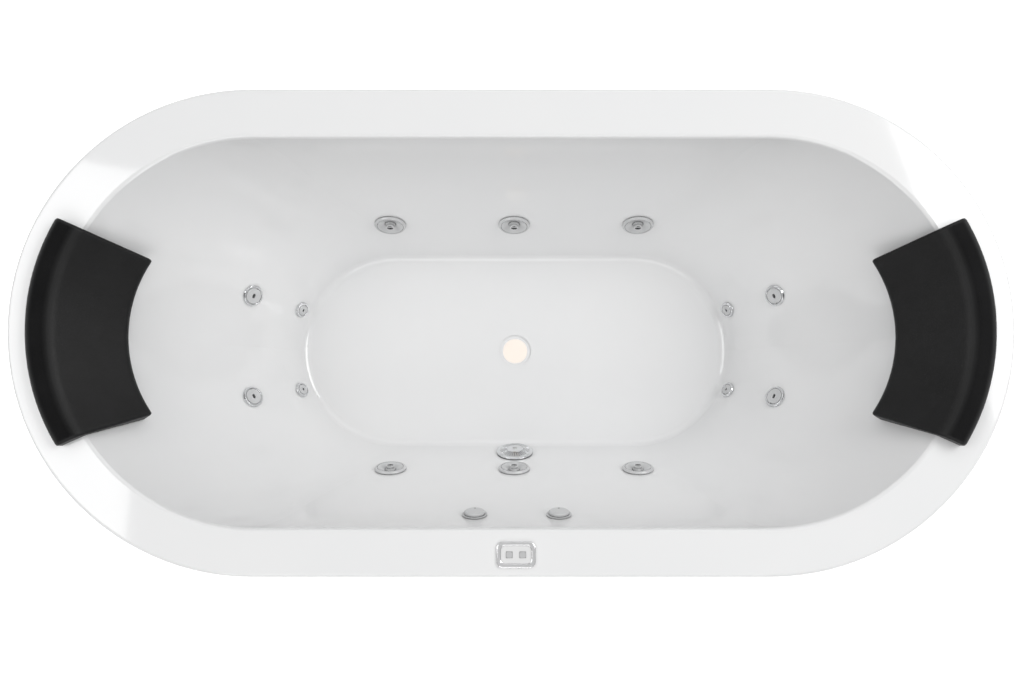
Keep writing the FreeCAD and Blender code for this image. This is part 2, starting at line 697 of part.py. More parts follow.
# Domed cover with radial slots, held by one screw into the housing's bridge.
def suctionCover():
    seat, wall = "gasket_height + flange_plate", "cover_wall"
    crest = f"{seat} + cover_rise"
    edge, flat = "suction_flange_radius", "cover_slot_inner - 2"
    body = turned("suction_dome", [
        ("cover_screw_radius / 2 + clearance", f"{crest} - {wall}"), (flat, f"{crest} - {wall}"),
        (f"{edge} - 5", f"{seat} + 1.5"), (f"{edge} - 5", seat), (edge, seat), (edge, f"{seat} + 2"),
        (f"{edge} - 4", f"{seat} + 1.5 + {wall}"), (flat, crest),
        ("cover_screw_radius / 2 + clearance", crest)])
    slot = newSketch(body, "slot", "XY_Plane", crest)
    middle = "(cover_slot_inner + cover_slot_outer) / 2"
    drawRectangle(slot, "cover_slot_outer - cover_slot_inner", "cover_slot", middle)
    aroundZ(body, sunk(body, slot, "cover_rise + cover_wall"), "cover_slots")
    return body


def coverScrew():
    crest = "gasket_height + flange_plate + cover_rise"
    stem, head = "cover_screw_radius / 2", "cover_screw_radius"
    body = turned("cover_screw", [("0", "-gasket_height"), (stem, "-gasket_height"), (stem, crest),
                                  (head, crest), (head, f"{crest} + 1.2"), ("0", f"{crest} + 2")])
    cross = newSketch(body, "cross", "XY_Plane", f"{crest} + 2")
    drawRectangle(cross, "cover_screw_radius", "1")
    sunk(body, cross, "1.2")
    return body


node(placed(suctionHousing(), suctionFrame, "suction_housing"), "suction_housing")
node(placed(suctionCover(), suctionFrame, "suction_cover"), "suction_cover")
node(placed(coverScrew(), suctionFrame, "suction_cover_screw"), "suction_cover_screw")


# ---- air controls ----

def airHousing():
    body = housing("air", [branch("air", "XZ_Plane", "0", "-air_port_depth", "air_hose_reach", AIR, 1)])
    rim = newSketch(body, "rim", "XY_Plane", "gasket_height")
    drawCircle(rim, "air_flange_radius")
    drawCircle(rim, "air_barrel_radius - housing_wall")
    raised(body, rim, "flange_plate")
    collar = newSketch(body, "collar", "XY_Plane", "gasket_height")
    drawCircle(collar, "air_barrel_radius")
    drawCircle(collar, "air_barrel_radius - housing_wall")
    raised(body, collar, "gasket_height", down=True)
    return body


# Knob with a stem in the housing; its dot shows how far the air valve is open.
def airKnob():
    rest = "gasket_height + flange_plate + clearance"
    crest = f"{rest} + air_knob_height"
    stem = "air_barrel_radius - housing_wall - clearance"
    body = turned("air_knob", [
        ("0", "-12"), (stem, "-12"), (stem, rest), ("air_knob_radius", rest),
        ("air_knob_radius", f"{crest} - 2"), ("air_knob_radius - 2", crest), ("0", crest)])
    dot = newSketch(body, "dot", "XY_Plane", crest)
    sunk(body, drawCircle(dot, "air_dot_radius", "0", "-air_dot_drop"), "air_dot_depth")
    port = newSketch(body, "port", "XY_Plane", "-12")
    sunk(body, drawCircle(port, "air_barrel_radius / 2"), "8", up=True)
    return body


node(together(copies(airHousing(), airFrames, "air_housing_at"), "air_control_housings"),
     "air_control_housings")
for link in copies(airKnob(), airFrames, "air_knob"):
    node(link, link.Label)


# ---- pipes ----

# Straight runs joined by arcs; each point carries the radius of its bend, nought at the two ends.
def route(points):
    edges = []
    start = points[0][0]
    for (before, _), (corner, radius), (after, _) in zip(points, points[1:], points[2:]):
        bend = value(radius)
        back = (before - corner).normalize()
        ahead = (after - corner).normalize()
        half = back.getAngle(ahead) / 2
        reach = bend / math.tan(half)
        inward = (back + ahead).normalize()
        middle = corner + inward * (bend / math.sin(half) - bend)
        enter, leave = corner + back * reach, corner + ahead * reach
        if (enter - start).Length > 1e-6:
            edges.append(Part.LineSegment(start, enter).toShape())
        edges.append(Part.Arc(enter, middle, leave).toShape())
        start = leave
    edges.append(Part.LineSegment(start, points[-1][0]).toShape())
    return Part.Wire(edges)


def sweepAlong(spine, points, radius, label):
    ring = doc.addObject("Part::Circle", f"{label}_ring")
    bind(ring, "Radius", radius)
    ring.Placement = Placement(points[0][0], Rotation(Vector(0, 0, 1), points[1][0] - points[0][0]))
    sweep = doc.addObject("Part::Sweep", label)
    sweep.Sections = [ring]
    sweep.Spine = (spine, [])
    sweep.Solid = True
    return sweep


# Pipe along one or more routes that run into one another, solid between its sockets.
def pipe(label, routes, radius):
    runs = []
    for index, points in enumerate(routes):
        spine = doc.addObject("Part::Feature", f"{label}_route_{index}")
        spine.Shape = route(points)
        runs.append(sweepAlong(spine, points, radius, f"{label}_run_{index}"))
    return runs[0] if len(runs) == 1 else fuse(runs, label)


# Bottom of a socket, where the pipe in it ends: a point of the fitting at that frame.
def socketEnd(frame, side, reach, depth, up, across="0"):
    return frame.multVec(Vector(side * (value(reach) - value(depth)), value(across), value(up)))


def waterEnd(frame, side, family, reach):
    return socketEnd(frame, side, reach, "socket_depth", f"-{family}_port_depth")


def airEnd(frame, side):
    return socketEnd(frame, side, "air_port_reach", "air_socket_depth", "-side_air_depth", "side_air_rise")


def levelAxis(frame):
    return frame.Rotation.multVec(Vector(1, 0, 0))


# Meeting point, seen from above, of two level lines.
def crossing(first, along, second, across):
    gap = second - first
    share = (gap.x * across.y - gap.y * across.x) / (along.x * across.y - along.y * across.x)
    return first + along * share


# From the last side jet of a row round the tub's corner to the back jet of that quarter.
def cornerPipe(sideFrame, backFrame, end, side):
    start = waterEnd(sideFrame, end * side, "side", "port_reach")
    stop = waterEnd(backFrame, -end * side, "back", "back_port_reach")
    corner = crossing(start, Vector(1, 0, 0), stop, levelAxis(backFrame))
    high = Vector(corner.x, corner.y, start.z)
    low = stop + (Vector(corner.x, corner.y, stop.z) - stop) * 0.5
    return [(start, 0), (high, "2 * pipe_bend"), (low, "2 * pipe_bend"), (stop, 0)]


# Between the two back jets of one end, rising to its middle.
def endPipe(upper, lower, end, rise):
    start = waterEnd(upper, end, "back", "back_port_reach")
    stop = waterEnd(lower, -end, "back", "back_port_reach")
    middle = crossing(start, levelAxis(upper), stop, levelAxis(lower))
    middle = Vector(middle.x, middle.y, start.z + rise)
    bend = end * value("pipe_bend")
    first, last = start + levelAxis(upper) * bend, stop - levelAxis(lower) * bend
    return [(start, 0), (first, "pipe_bend"), (middle, "pipe_bend"), (last, "pipe_bend"), (stop, 0)]


def rowPipes():
    pipes = []
    for side, row in ((1, sideFrames[:3]), (-1, sideFrames[3:])):
        for left, right in zip(row, row[1:]):
            ends = [(waterEnd(left, side, "side", "port_reach"), 0),
                    (waterEnd(right, -side, "side", "port_reach"), 0)]
            pipes.append(pipe(f"row_pipe_{len(pipes)}", [ends], "pipe_radius"))
    return pipes


def pumpAxisHeight():
    return railBottom() + value("pump_axis_height")


def railBottom():
    return value("rim_height - well_depth - acrylic_wall - bond_gap - laminate_wall"
                 " - board_thickness - rail_size")


def outletEnd():
    return Vector(value("tub_length / 2 - pump_end - outlet_offset"), value("pump_shift - volute_width / 2"),
                  pumpAxisHeight() + value("outlet_reach - socket_depth"))


# The pump's delivery rises, turns and runs into the pipe between the two back jets.
def deliveryRoute(endRoute):
    start = outletEnd()
    first, middle = endRoute[3][0], endRoute[2][0]
    share = (start.y - middle.y) / (first.y - middle.y)
    meets = middle + (first - middle) * share
    corner = Vector(start.x, start.y, meets.z)
    return [(start, 0), (corner, "0.5 * pipe_bend"), (meets, 0)]


def waterPipes():
    pipes = rowPipes()
    corners = {(-1, 1): (sideFrames[0], backFrames[0]), (-1, -1): (sideFrames[3], backFrames[1]),
               (1, 1): (sideFrames[2], backFrames[2]), (1, -1): (sideFrames[5], backFrames[3])}
    for (end, side), (sideFrame, backFrame) in corners.items():
        points = cornerPipe(sideFrame, backFrame, end, side)
        pipes.append(pipe(f"corner_pipe_{len(pipes)}", [points], "pipe_radius"))
    rise = value("pipe_radius")
    far = endPipe(backFrames[0], backFrames[1], -1, rise)
    pipes.append(pipe("foot_end_pipe", [far], "pipe_radius"))
    near = endPipe(backFrames[2], backFrames[3], 1, rise)
    pipes.append(pipe("pump_end_pipe", [near, deliveryRoute(near)], "pipe_radius"))
    return pipes


# From each back jet's hose tail to the mini jet below it.
def miniHose(index):
    upper, lower = backFrames[index], miniFrames[index]
    top = upper.multVec(Vector(0, -value("hose_port_reach - air_socket_depth"), -value("back_port_depth")))
    foot = lower.multVec(Vector(0, value("mini_hose_reach - air_socket_depth"), -value("mini_port_depth")))
    down = upper.Rotation.multVec(Vector(0, -1, 0))
    up = lower.Rotation.multVec(Vector(0, 1, 0))
    leg = value("mini_hose_leg")
    points = [(top, 0), (top + down * leg, "0.9 * mini_hose_leg"), (foot + up * leg, "0.9 * mini_hose_leg"),
              (foot, 0)]
    return pipe(f"mini_hose_{index}", [points], "hose_radius")


def suctionPipe():
    reach = "suction_barrel_radius + suction_socket"
    start = socketEnd(suctionFrame, -1, reach, "suction_socket", "-suction_port_depth")
    axis = pumpAxisHeight()
    inlet = value("pump_shift - volute_width - inlet_reach + suction_socket")
    pumpX = value("tub_length / 2 - pump_end")
    points = [(start, 0), (Vector(pumpX * 0.6, start.y, start.z), "2 * pipe_bend"),
              (Vector(pumpX * 0.75, start.y, axis), "2 * pipe_bend"),
              (Vector(pumpX, start.y, axis), "1.4 * pipe_bend"), (Vector(pumpX, inlet, axis), 0)]
    return pipe("suction_run", [points], "suction_pipe_radius")


node(together(waterPipes() + [miniHose(index) for index in range(4)] + [suctionPipe()], "water_pipes"),
     "water_pipes")


def airTail(frame):
    return frame.multVec(Vector(0, -value("air_hose_reach - air_socket_depth"), -value("air_port_depth")))


# Straight lines between the jets of a row, and a closed stub in each row's free end.
def airRow(row, side):
    lines = []
    for left, right in zip(row, row[1:]):
        ends = [(airEnd(left, side), 0), (airEnd(right, -side), 0)]
        lines.append(pipe(f"air_line_{side + 1}_{len(lines)}", [ends], "air_pipe_radius"))
    return lines


def airPlug(frame, side):
    plug = solidOf("Cylinder", "air_plug", None, Radius="air_pipe_radius", Height="air_socket_depth + 3")
    start = airEnd(frame, side)
    plug.Placement = Placement(start, Rotation(Vector(0, 0, 1), levelAxis(frame) * side))
    return plug


# From the control by the pump down to the front row.
def frontAirFeed():
    frame, port, bend = airFrames[1], airEnd(sideFrames[5], -1), value("pipe_bend")
    tail = airTail(frame)
    low = tail + frame.Rotation.multVec(Vector(0, -bend, 0))
    beyond = port.x + 3 * bend
    return [(tail, 0), (low, "0.7 * pipe_bend"), (Vector(beyond, low.y, low.z - bend), "0.8 * pipe_bend"),
            (Vector(beyond, port.y, port.z), "0.8 * pipe_bend"), (port, 0)]


# From the other control round the tub's end to the back row.
def rearAirFeed():
    frame, port, bend = airFrames[0], airEnd(sideFrames[0], -1), value("pipe_bend")
    tail = airTail(frame)
    low = tail + frame.Rotation.multVec(Vector(0, -bend, 0))
    lane = -low.y
    end = -(value("tub_length - tub_width") / 2 + lane)
    turn = f"{lane - 2:.3f}"
    return [(tail, 0), (low, "0.7 * pipe_bend"), (Vector(end, -lane, low.z), turn),
            (Vector(end, lane, low.z), turn), (Vector(port.x - 3 * bend, lane, low.z), "0.8 * pipe_bend"),
            (Vector(port.x - bend, port.y, port.z), "0.8 * pipe_bend"), (port, 0)]


def airFeeds():
    return [pipe("front_air_feed", [frontAirFeed()], "air_pipe_radius"),
            pipe("rear_air_feed", [rearAirFeed()], "air_pipe_radius")]


node(together(airRow(sideFrames[:3], 1) + airRow(sideFrames[3:], -1) + airFeeds()
              + [airPlug(sideFrames[2], 1), airPlug(sideFrames[3], 1)], "air_lines"), "air_lines")


# ---- keypad on the front deck ----

def roundedPlate(body, name, height, length, width, corner, rise, down=False):
    sketch = drawRectangle(newSketch(body, name, "XY_Plane", height), length, width)
    feature = raised(body, sketch, rise, down=down)
    tall = value(rise)
    return rounded(body, feature, corner, lambda edge: abs(edge.BoundBox.ZLength - tall) < 1e-3
                   and edge.BoundBox.XLength < 1e-3 and edge.BoundBox.YLength < 1e-3)


BUTTON_PLACES = ("-button_spacing / 2", "button_spacing / 2")


def keypadBezel():
    body = newBody("bezel")
    roundedPlate(body, "plate", "0", "keypad_length", "keypad_width", "keypad_corner", "bezel_height")
    window = newSketch(body, "window", "XY_Plane", "bezel_height")
    drawRectangle(window, "keypad_length - 2 * bezel_band", "keypad_width - 2 * bezel_band")
    feature = sunk(body, window, "bezel_height + 1")
    inner = value("keypad_length") / 2 - value("bezel_band")
    feature = rounded(body, feature, "keypad_corner - bezel_band / 2", lambda edge:
                      edge.BoundBox.XLength < 1e-3 and edge.BoundBox.YLength < 1e-3
                      and abs(abs(edge.BoundBox.XMin) - inner) < 1e-3)
    rounded(body, feature, "bezel_height / 3", isFlatAt(value("bezel_height")))
    return body


def keypadPanel():
    body = newBody("panel")
    length, width = "keypad_length - 2 * bezel_band", "keypad_width - 2 * bezel_band"
    roundedPlate(body, "plate", "0", f"{length} - 2 * clearance", f"{width} - 2 * clearance",
                 "keypad_corner - bezel_band / 2 - clearance", "panel_height")
    holes = newSketch(body, "holes", "XY_Plane", "panel_height")
    for across in BUTTON_PLACES:
        drawRectangle(holes, "button_size + 2 * clearance", "button_size + 2 * clearance", across)
    sunk(body, holes, "panel_height + 1")
    return body


# Box under the deck; its top is recessed for the button stems to sink into.
def keypadHousing():
    body = newBody("keypad_box")
    roundedPlate(body, "plate", "0", "keypad_length - 2 * keypad_box_margin",
                 "keypad_width - 2 * keypad_box_margin", "keypad_corner / 3", "keypad_box_depth", down=True)
    wells = newSketch(body, "wells")
    for across in BUTTON_PLACES:
        drawRectangle(wells, "button_size - 2 * clearance", "button_size - 2 * clearance", across)
    sunk(body, wells, "4 * button_travel")
    return body


# Cap with a smaller stem, which stops on the bottom of its well.
def keypadButton():
    body = newBody("button")
    cap = drawRectangle(newSketch(body, "cap", "XY_Plane", "button_travel + clearance"), "button_size",
                        "button_size")
    crest = "panel_height + button_height - button_travel"
    feature = raised(body, cap, f"{crest} - button_travel - clearance")
    feature = rounded(body, feature, "button_corner", lambda edge: edge.BoundBox.ZLength > 1)
    rounded(body, feature, "0.6", isFlatAt(value(crest)))
    stem = drawRectangle(newSketch(body, "stem", "XY_Plane", "button_travel + clearance"),
                         "button_size - 6 * clearance", "button_size - 6 * clearance")
    raised(body, stem, "4 * button_travel", down=True)
    return body


deckPlace = keypadPlace()
node(placed(keypadBezel(), deckPlace, "keypad_bezel"), "keypad_bezel")
node(placed(keypadPanel(), deckPlace, "keypad_panel"), "keypad_panel")
node(placed(keypadHousing(), deckPlace, "keypad_housing"), "keypad_housing")
button = keypadButton()
for index, across in enumerate(BUTTON_PLACES, 1):
    place = Placement(deckPlace.Base + Vector(value(across), 0, 0), Rotation())
    node(placed(button, place, f"keypad_button_{index}"), f"keypad_button_{index}")


# ---- head rests ----

# The deck and the upper back rest, grown by the clearance: what a head rest is moulded to fit.
def pillowSeat():
    body = newBody("pillow_seat")
    deck = newSketch(body, "deck", "XY_Plane", "rim_height + clearance")
    raised(body, drawStadium(deck, "tub_length", "tub_width"), "lumbar_depth", down=True)
    wellLoft(body, "Subtractive", "0 - clearance", "rim_height + clearance")
    return body


# One end's pad: its section is swung round the centre of the rim's half circle.
def pillowBlank():
    body = newBody("pillow_blank")
    sketch = newSketch(body, "section", "XZ_Plane")
    drawOutline(sketch, [
        ("pillow_outer", "-pillow_height"), ("pillow_outer", "pillow_height - pillow_shoulder"),
        ("pillow_outer - pillow_shoulder", "pillow_height - 2"), ("pillow_ridge", "pillow_height"),
        ("pillow_face_radius", "-pillow_face_drop"), ("pillow_foot_radius", "-pillow_foot_drop"),
        ("pillow_ridge", "-pillow_foot_drop")])
    swung = body.newObject("PartDesign::Revolution", "pillow_swung")
    swung.Profile = sketch
    swung.ReferenceAxis = (sketch, ["V_Axis"])
    bind(swung, "Angle", "pillow_sweep")
    swung.Midplane = True
    trimmed = sunk(body, pillowEnds(body), "4 * pillow_foot_drop", midplane=True)

    def ringAt(radius, height):
        reach, level = value(radius), value(height)

        def test(edge):
            return all(abs(math.hypot(end.X, end.Y) - reach) < 0.01 and abs(end.Z - level) < 0.01
                       for end in edge.Vertexes) and edge.Length > 50
        return test

    feature = rounded(body, trimmed, "pillow_ridge_rounding", ringAt("pillow_ridge", "pillow_height"))
    feature = rounded(body, feature, "pillow_toe_rounding",
                      ringAt("pillow_face_radius", "-pillow_face_drop"))
    rounded(body, feature, "pillow_rounding", isPillowSide)
    return body


# Distance of a pad's end face from its middle plane, at a distance out from the swing's centre.
def pillowHalf(out):
    return f"pillow_end_offset + ({out}) * tan(pillow_end_angle * 1deg)"


# Everything beyond a pad's two end faces.
def pillowEnds(body):
    sketch = newSketch(body, "ends")
    far = "pillow_outer + pillow_height"
    for side in (1, -1):
        drawOutline(sketch, [("0", f"{side} * ({pillowHalf(0)})"), (far, f"{side} * ({pillowHalf(far)})"),
                             (far, f"{side} * 2 * pillow_outer"), ("0", f"{side} * 2 * pillow_outer")])
    return sketch


# The outline of a pad's two end faces, without the edges that lie inside the tub's wall.
def isPillowSide(edge):
    hidden = Vector(value("pillow_ridge"), 0, -value("pillow_foot_drop"))
    for end in edge.Vertexes:
        buried = Vector(math.hypot(end.X, end.Y), 0, end.Z)
        if abs(abs(end.Y) - value(pillowHalf(end.X))) > 0.01 or (buried - hidden).Length < 1:
            return False
    return edge.BoundBox.YLength < value("pillow_outer") / 2


def headRests():
    blank, seat = pillowBlank(), pillowSeat()
    centre = (value("tub_length") - value("tub_width")) / 2
    for index, turn in enumerate((180, 0), 1):
        place = Placement(Vector(centre if turn == 0 else -centre, 0, value("rim_height")),
                          Rotation(Vector(0, 0, 1), turn))
        node(cut(placed(blank, place, f"pillow_{index}"), seat, f"headrest_{index}"), f"headrest_{index}")


headRests()


# ---- cradle ----

def boardTop():
    return railBottom() + value("rail_size + board_thickness")


def lifted(item, height, across=0, along=0):
    item.Placement = Placement(Vector(along, across, height), Rotation())
    return item


def baseBoard():
    body = newBody("base_board")
    outline = drawStadium(newSketch(body, "outline"), "tub_length - 2 * board_end", "rail_spread + rail_size")
    raised(body, outline, "board_thickness", down=True)
    hole = newSketch(body, "waste_hole")
    sunk(body, drawCircle(hole, "board_hole"), "board_thickness")
    return lifted(body, boardTop())


# Two long square tubes and four cross tubes, welded, with a threaded bush under each foot's place.
def cradleFrame():
    body = newBody("cradle_frame")
    inner = "rail_size - 2 * rail_wall"
    for name, side in (("left", "-rail_spread / 2"), ("right", "rail_spread / 2")):
        sketch = newSketch(body, f"{name}_rail", "YZ_Plane", "rail_end - tub_length / 2")
        drawRectangle(sketch, "rail_size", "rail_size", side, "rail_size / 2")
        drawRectangle(sketch, inner, inner, side, "rail_size / 2")
        raised(body, sketch, "tub_length - 2 * rail_end")
    left, right = "foot_end - tub_length / 2", "tub_length / 2 - foot_end"
    for index, along in enumerate((left, "-cross_rail_pitch / 2", "cross_rail_pitch / 2", right)):
        sketch = newSketch(body, f"cross_{index}", "XZ_Plane", "-(rail_spread - rail_size) / 2")
        drawRectangle(sketch, "rail_size", "rail_size", along, "rail_size / 2")
        drawRectangle(sketch, inner, inner, along, "rail_size / 2")
        raised(body, sketch, "rail_spread - rail_size")
    bushes, holes = newSketch(body, "bushes"), newSketch(body, "bush_holes", "XY_Plane", "rail_wall")
    for along in (left, right):
        for side in ("-rail_spread / 2", "rail_spread / 2"):
            drawCircle(bushes, "foot_bush_radius", along, side)
            drawCircle(holes, "stud_radius + clearance", along, side)
    raised(body, bushes, "foot_bush_height", down=True)
    sunk(body, holes, "foot_bush_height + rail_wall")
    return lifted(body, railBottom())


# Boards under the rails' ends, which carry the pump and the control box.
def shelf():
    body = newBody("shelf")
    roundedPlate(body, "plate", "0", "shelf_length", "shelf_width", "2 * box_corner", "shelf_thickness",
                 down=True)
    return body


# Foot with its stud up through the bush into the rail.
def levellingFoot():
    return turned("levelling_foot", [
        ("0", "0"), ("foot_radius", "0"), ("foot_radius", "foot_height / 3"),
        ("1.5 * stud_radius", "foot_height"), ("stud_radius", "foot_height"),
        ("stud_radius", "stud_top"), ("0", "stud_top")])


# Place on the bath's middle line or beside it, as far in from each of its two ends.
def endPlace(end, inset, across=0, height=0):
    return Placement(Vector(end * value(f"tub_length / 2 - {inset}"), across, height), Rotation())


shelfPlaces = [endPlace(end, "shelf_end", height=railBottom()) for end in (-1, 1)]
footPlaces = [endPlace(end, "foot_end", side * value("rail_spread") / 2)
              for end in (-1, 1) for side in (1, -1)]
node(baseBoard(), "base_board")
node(cradleFrame(), "cradle_frame")
node(together(copies(shelf(), shelfPlaces, "shelf_at"), "equipment_shelves"), "equipment_shelves")
for link in copies(levellingFoot(), footPlaces, "foot"):
    node(link, link.Label)


# ---- pump: its parts are modelled with the shaft along Z and the motor's bell at Z = 0 ----

pumpAlong = value("tub_length / 2 - pump_end")
pumpPlace = Placement(Vector(pumpAlong, value("pump_shift"), pumpAxisHeight()),
                      Rotation(Vector(1, 0, 0), -90))
SHAFT_HOLE = "shaft_radius + clearance"


# Snail housing: round chamber, inlet on its axis, outlet rising from its rim.
def pumpVolute():
    body = turned("volute", [
        ("0", "-volute_width"), ("volute_radius - 6", "-volute_width"), ("volute_radius", "6 - volute_width"),
        ("volute_radius", "0"), ("0", "0")])
    inlet = newSketch(body, "inlet", "XY_Plane", "-volute_width")
    raised(body, drawCircle(inlet, "suction_port_radius"), "inlet_reach", down=True)
    outlet = newSketch(body, "outlet", "XZ_Plane")
    drawCircle(outlet, "port_radius", "-outlet_offset", "-volute_width / 2")
    raised(body, outlet, "outlet_reach")
    chamber = newSketch(body, "chamber")
    sunk(body, drawCircle(chamber, "volute_radius - volute_wall"), "volute_width - volute_wall")
    throat = newSketch(body, "throat", "XY_Plane", "-volute_width - inlet_reach")
    sunk(body, drawCircle(throat, "suction_pipe_bore"), "inlet_reach + volute_wall + 1", up=True)
    socket = newSketch(body, "socket", "XY_Plane", "-volute_width - inlet_reach")
    sunk(body, drawCircle(socket, "suction_pipe_radius + clearance"), "suction_socket", up=True)
    bore = newSketch(body, "outlet_bore", "XZ_Plane")
    sunk(body, drawCircle(bore, "pipe_bore", "-outlet_offset", "-volute_width / 2"), "outlet_reach", up=True)
    mouth = newSketch(body, "outlet_socket", "XZ_Plane", "outlet_reach")
    drawCircle(mouth, "pipe_radius + clearance", "-outlet_offset", "-volute_width / 2")
    sunk(body, mouth, "socket_depth")
    return body


# Closed motor housing with cooling fins all round.
def motorCasing():
    hole, inside, outside = SHAFT_HOLE, "motor_radius - motor_wall", "motor_radius"
    body = turned("motor_shell", [
        (hole, "0"), (outside, "0"), (outside, "motor_length"), (hole, "motor_length"),
        (hole, "motor_length - bell_wall"), (inside, "motor_length - bell_wall"),
        (inside, "bell_wall"), (hole, "bell_wall")])
    fin = newSketch(body, "fin", "XY_Plane", "bell_wall")
    middle = "motor_radius + fin_height / 2 - motor_wall / 4"
    drawRectangle(fin, "fin_height + motor_wall / 2", "fin_width", middle)
    aroundZ(body, raised(body, fin, "motor_length - 2 * bell_wall"), "fin_count")
    return body


# Steel shaft with the rotor's core, and the cooling fan on its far end.
def motorShaft():
    start, far = "impeller_gap + impeller_disc - volute_width / 2", "motor_length + fan_gap + fan_width"
    body = turned("rotor_shaft", [
        ("0", start), ("shaft_radius", start), ("shaft_radius", "(motor_length - core_length) / 2"),
        ("core_radius", "(motor_length - core_length) / 2"),
        ("core_radius", "(motor_length + core_length) / 2"),
        ("shaft_radius", "(motor_length + core_length) / 2"), ("shaft_radius", "motor_length + fan_gap"),
        ("fan_radius / 2", "motor_length + fan_gap"), ("fan_radius / 2", f"{far} - fan_width / 2"),
        ("shaft_radius", f"{far} - fan_width / 2"), ("shaft_radius", far), ("0", far)])
    blade = newSketch(body, "blade", "XY_Plane", "motor_length + fan_gap")
    root = "shaft_radius / 2"
    drawRectangle(blade, f"fan_radius - {root}", "fan_blade_width", f"(fan_radius + {root}) / 2")
    aroundZ(body, raised(body, blade, "fan_width"), "fan_blades")
    return body


# Disc with backward-leaning vanes towards the inlet, and a hub over the shaft's end.
def impeller():
    back, front = "-impeller_gap", "-impeller_gap - impeller_disc"
    bottom = "impeller_gap + impeller_disc - volute_width / 2"
    body = turned("impeller_disc", [
        (SHAFT_HOLE, back), ("impeller_radius", back), ("impeller_radius", front), ("hub_radius", front),
        ("hub_radius", f"{front} - vane_height"), ("hub_radius / 3", f"{front} - vane_height - 4"),
        ("0", f"{front} - vane_height - 4"), ("0", f"{bottom} - clearance"),
        (SHAFT_HOLE, f"{bottom} - clearance")])
    vane = newSketch(body, "vane", "XY_Plane", front)
    drawOutline(vane, [("hub_radius - 2", "0"), ("impeller_radius - 6", "hub_radius"),
                       ("impeller_radius - 6", "hub_radius + vane_width"), ("hub_radius - 2", "vane_width")])
    aroundZ(body, raised(body, vane, "vane_height", down=True), "vane_count")
    return body


def fanCover():
    start, end = "motor_length", "motor_length + fan_cover_length"
    outer, wall = "motor_radius", "fan_cover_wall"
    body = turned("cooling_cover", [
        (outer, start), (outer, f"{end} - 6"), (f"{outer} - 6", end), ("0", end), ("0", f"{end} - {wall}"),
        (f"{outer} - 6", f"{end} - {wall}"), (f"{outer} - {wall}", f"{end} - 6"),
        (f"{outer} - {wall}", start)])
    slot = newSketch(body, "slot", "XY_Plane", end)
    middle = "(fan_slot_inner + fan_radius) / 2"
    drawRectangle(slot, "fan_radius - fan_slot_inner", "fan_slot", middle)
    aroundZ(body, sunk(body, slot, "2 * fan_cover_wall"), "fan_slots")
    return body


# Moulded foot: a plate on the shelf under a saddle that the motor's fins lie in.
def pumpFoot():
    body = newBody("pump_saddle")
    length, width = "pump_foot_length", "pump_foot_width"
    roundedPlate(body, "plate", "0", length, width, "box_corner", "pump_foot_height")
    block = newSketch(body, "block", "XY_Plane", "pump_foot_height")
    drawRectangle(block, f"{length} - 4 * box_corner", f"{width} - 2 * box_corner")
    raised(body, block, "pump_axis_height - motor_radius")
    middle = Vector(pumpAlong, value("pump_shift + motor_length / 2"), railBottom())
    place = Placement(middle, Rotation())
    motor = solidOf("Cylinder", "motor_envelope", pumpPlace,
                    Radius="motor_radius + fin_height + clearance", Height="motor_length")
    return cut(placed(body, place, "saddle"), motor, "pump_foot")


for label, build in (("pump_volute", pumpVolute), ("motor_casing", motorCasing), ("motor_shaft", motorShaft),
                     ("pump_impeller", impeller), ("pump_fan_cover", fanCover)):
    node(placed(build(), pumpPlace, label), label)
node(pumpFoot(), "pump_foot")


# ---- control box at the other end ----

def controlBox():
    body = newBody("box_shell")
    roundedPlate(body, "plate", "0", "box_length", "box_width", "box_corner", "box_height")
    step = newSketch(body, "lid_line", "XY_Plane", "box_height - box_lid_height")
    drawRectangle(step, "box_length + 2", "box_width + 2")
    drawRectangle(step, "box_length - 2", "box_width - 2")
    sunk(body, step, "1")
    return body


def controlGland():
    body = turned("gland", [
        ("0", "0"), ("gland_radius", "0"), ("gland_radius", "gland_length / 2"),
        ("gland_radius - 2.5", "gland_length / 2"), ("gland_radius - 2.5", "gland_length"),
        ("gland_radius - 6", "gland_length"), ("gland_radius - 6", "gland_length / 4"),
        ("0", "gland_length / 4")])
    return body


boxPlace = Placement(shelfPlaces[0].Base, Rotation())
node(placed(controlBox(), boxPlace, "control_box"), "control_box")
glandPlace = Placement(boxPlace.Base + Vector(0, value("box_width") / 2, value("box_height") / 2),
                       Rotation(Vector(1, 0, 0), -90))
node(placed(controlGland(), glandPlace, "control_box_gland"), "control_box_gland")
doc.recompute()


# ---- checks and files ----

def writeNodes():
    os.makedirs("parts", exist_ok=True)
    for item in doc.Objects:
        if "Invalid" in item.State or "Error" in item.State:
            raise RuntimeError(f"{item.Label} failed: {item.State}")
    for item in nodes:
        if item.Shape.isNull() or not item.Shape.isValid():
            raise RuntimeError(f"{item.Label} has no valid shape")
        item.Shape.exportStep(f"parts/{item.Label}.step")
    print(f"{len(nodes)} nodes written")


writeNodes()
